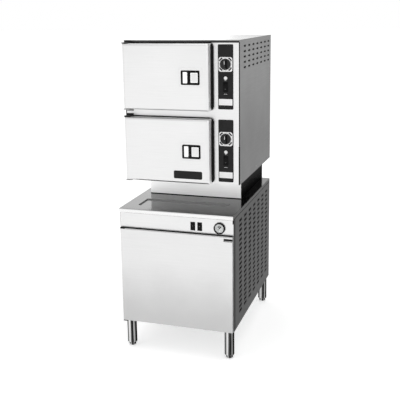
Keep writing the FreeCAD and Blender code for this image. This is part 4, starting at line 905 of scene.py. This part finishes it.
foot_sides, washer_sides, hexagon = 48, 20, 6
print("sides of a foot, a washer and a nut", foot_sides, washer_sides, hexagon)

# %% [markdown]
# A levelling foot has a bullet nose that stands on the floor, a groove, two flats for a spanner and a short collar
# under the leg. The turned piece stands for the plain cone of the frame, and turns with its body.

# %% Levelling feet
foot_profile = [(0, 0), (13.5, 0), (15.6, 0.8), (17.6, 4.5), (18.8, 9.0), (18.8, 11.6), (16.0, 12.2), (16.0, 15.4),
                (19.0, 16.0), (19.0, 19.6), (18.6, 20.0), (7.9, 20.0), (7.9, 79.0), (7.0, 80.0), (0, 80.0)]
flat_low, flat_high, flat_half = 15.8, 19.9, 16.5
legs = {"front_left": (-272.8, -385.4), "front_right": (272.8, -385.4), "back_left": (-272.8, 388.6),
        "back_right": (272.8, 388.6)}
for place, (x, y) in legs.items():
    build = bmesh.new()
    turn(build, foot_profile, (x, y, 0), (0, 0, 1), foot_sides)
    for vertex in build.verts:
        off_axis = vertex.co.y / MM - y
        if flat_low < vertex.co.z / MM < flat_high and abs(off_axis) > flat_half:
            vertex.co.y = (y + math.copysign(flat_half, off_axis)) * MM
    foot = finish_piece("levelling_foot_" + place, build, chrome, "foot_" + place)
    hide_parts("foot_" + place)
print("foot height", foot_profile[-5][1], "mm above the floor")

# %% [markdown]
# ## Screws
# The backs and the casing's sides are held by hex washer-head screws: a thin washer and a six-sided head with a
# chamfered top, 8 mm across its flats. The casing's own are flatter. One mesh holds all the screws of a panel.

# %% Screws
def screws(name, places, axis, size=4.6, proud=3.7):
    """Hex washer-head screws at a list of places in millimetres, all facing along an axis."""
    build = bmesh.new()
    for place in places:
        turn(build, [(size * 1.45, 0), (size * 1.45, 0.14 * proud), (size * 1.25, 0.24 * proud),
                     (size * 1.1, 0.24 * proud)], place, axis, washer_sides)
        turn(build, [(size, 0.23 * proud), (size, 0.81 * proud), (size * 0.82, proud)], place, axis, hexagon)
    finish_piece(name, build, grey_steel, "root")


def frame_places(y, low_z, high_z, side_z):
    """Screw places round a back panel: four along its foot and four along its head, and some down each side."""
    return ([(x, y, z) for x in (-285, -95, 95, 285) for z in (low_z, high_z)]
            + [(x, y, z) for x in (-285, 285) for z in side_z])


cabinet_back, casing_back = 423.0, 430.0
screws("cabinet_back_screws", frame_places(cabinet_back, 175, 735, (315, 455, 595)), (0, 1, 0))
screws("casing_back_screws", frame_places(casing_back, 920, 1597, (1090, 1260, 1430)), (0, 1, 0), proud=0.4)
for side, sign in (("right", 1), ("left", -1)):
    screws("casing_side_screws_" + side, [(sign * casing_side, y, 925) for y in (-270, 70, 410)], (sign, 0, 0),
           3.4, 1.3)

# %% [markdown]
# ## Pipe fittings
# A pipe joins a valve or a vessel through a compression nut, a brass hexagon with a chamfer at each end. The nuts
# sit on the risers, the gauge cocks and the boiler's water feed, and show when the cabinet door is open.

# %% Compression nuts
riser_x, riser_y, riser_nut_z = (-140.0, -40.0), 345.0, 619.5
cock_x, cock_z = -234.0, (339.5, 539.5)
feed_x, feed_z = 54.0, 306.0
vessel_y = 235.0
build = bmesh.new()
for x in riser_x:
    turn(build, [(17.5, 0.2), (19, 1.5), (19, 15), (17.5, 16.5)], (x, riser_y, riser_nut_z), (0, 0, 1), hexagon)
for z in cock_z:
    turn(build, [(9.5, 0.2), (10.5, 1), (10.5, 9), (9.5, 10)], (cock_x, vessel_y, z), (-1, 0, 0), hexagon)
turn(build, [(15.5, 0.2), (17, 1.5), (17, 13), (15.5, 14.5)], (feed_x, vessel_y, feed_z), (1, 0, 0), hexagon)
finish_piece("compression_nuts", build, brass, "root")
print("compression nuts", len(riser_x) + len(cock_z) + 1)

# %% [markdown]
# ## Studio
# Bright metal shows whatever stands round it, so the room matters as much as the lamps. Its walls are white up to
# 20 degrees above the floor's edge, so that every view has a white background. Higher up they are pale grey, apart
# from a white backdrop behind the machine, a large soft light in front to the left and a dimmer patch overhead.

# %% Room
world = bpy.data.worlds.new("pale_room")
bpy.context.scene.world = world
world.use_nodes = True
tree = world.node_tree
tree.nodes.clear()
direction = add(tree, "TexCoord").outputs["Generated"]


def lobe(towards, inner_deg, outer_deg):
    """A soft patch of the room's walls: full inside one angle from a direction, and gone outside another."""
    aim = Vector(towards).normalized()
    along = add(tree, "VectorMath", {0: direction, 1: aim}, operation="DOT_PRODUCT")
    return add(tree, "MapRange", {"Value": along.outputs["Value"],
                                  "From Min": math.cos(math.radians(outer_deg)),
                                  "From Max": math.cos(math.radians(inner_deg))},
               interpolation_type="SMOOTHSTEP").outputs[0]


height = add(tree, "SeparateXYZ", {"Vector": direction}).outputs["Z"]
low_wall = add(tree, "MapRange", {"Value": height, "From Min": math.sin(math.radians(30)),
                                  "From Max": math.sin(math.radians(20))},
               interpolation_type="SMOOTHSTEP").outputs[0]
backdrop = lobe((-0.311, 0.95, -0.05), 24, 42)
soft_light = lobe((-0.35, -0.93, 0.1), 40, 75)
overhead = lobe((0, 0, 1), 20, 60)
wall = linear("#B4B4B4")
for share, tone in ((low_wall, "#FFFFFF"), (backdrop, "#FFFFFF"), (soft_light, "#FFFFFF"), (overhead, "#E0E0E0")):
    wall = add(tree, "Mix", {"Factor": share, 6: wall, 7: linear(tone)}, data_type="RGBA").outputs[2]
light = add(tree, "Background", {"Color": wall, "Strength": 1.0})
add(tree, "OutputWorld", {"Surface": light.outputs[0]})
print("room nodes", len(tree.nodes))

# %% [markdown]
# The floor is matt white paper. Seen straight or in the steel it glows a little, so that it comes out white, and it
# still takes the machine's soft shadow, because its own colour carries most of the light.

# %% Floor
floor_half = 60.0
floor_mesh = bpy.data.meshes.new("floor")
build = bmesh.new()
bmesh.ops.create_grid(build, x_segments=1, y_segments=1, size=floor_half)
build.to_mesh(floor_mesh)
build.free()
floor = new_object("floor", floor_mesh)
paper, tree = new_material("paper_white_floor")
path = add(tree, "LightPath")
seen = path.outputs["Is Camera Ray"]
for ray in ("Is Glossy Ray", "Is Transmission Ray"):
    seen = add(tree, "Math", {0: seen, 1: path.outputs[ray]}, operation="MAXIMUM").outputs[0]
glow = add(tree, "Math", {0: seen, 1: 0.45}, operation="MULTIPLY")
surface(tree, {"Base Color": linear("#F2F2F2"), "Roughness": 0.9, "Emission Color": linear("#FFFFFF"),
               "Emission Strength": glow.outputs[0]})
floor_mesh.materials.append(paper)
print("floor", 2 * floor_half, "m wide")

# %% [markdown]
# The room gives most of the light, so four square soft lamps are enough, in front, at the right, above and behind.
# They stay dim, so that a colour in the lists above comes out about as it is written.

# %% Lamps
def lamp(name, place, aim, size, power):
    """A square soft lamp that points at a place, all in metres and watts."""
    data = bpy.data.lights.new(name, "AREA")
    data.shape = "SQUARE"
    data.size = size
    data.energy = power
    made = new_object(name, data)
    made.location = place
    made.rotation_mode = "QUATERNION"
    made.rotation_quaternion = (Vector(aim) - Vector(place)).to_track_quat("-Z", "Y")


lamp("key_lamp", (-1.4, -4.2, 1.1), (0, 0, 0.95), 1.6, 2)
lamp("fill_lamp", (2.6, -3.6, 1.6), (0, 0, 0.9), 1.4, 6)
lamp("top_lamp", (0.2, -0.6, 4.0), (0, 0, 0.8), 2.4, 16)
lamp("rear_lamp", (-1.6, 3.2, 2.4), (0, 0, 0.9), 1.8, 8)
print("lamps", sum(lit.energy for lit in bpy.data.lights), "W")

# %% [markdown]
# ## Camera
# The place, direction and lens come from the corners of the machine in the photograph. The camera looks from the
# front right, at a little over head height, to the left and down. A small lens shift frames the machine.

# %% Camera
camera_place = Vector((1.1633, -3.6248, 1.7605))
yaw, pitch, roll = (math.radians(a) for a in (17.7835, 12.8783, 0.7648))
turned = (Matrix.Rotation(yaw, 4, "Z") @ Matrix.Rotation(math.pi / 2 - pitch, 4, "X")
          @ Matrix.Rotation(-roll, 4, "Z"))
camera_data = bpy.data.cameras.new("camera")
camera_data.lens = 63.16
camera_data.sensor_width = 36.0
camera_data.shift_y = -0.07
camera_data.clip_end = 200.0
camera = new_object("camera", camera_data)
camera.matrix_world = Matrix.Translation(camera_place) @ turned
bpy.context.scene.camera = camera
bpy.context.scene.view_settings.view_transform = "Standard"
print("lens", camera_data.lens, "mm, shift", camera_data.shift_y)
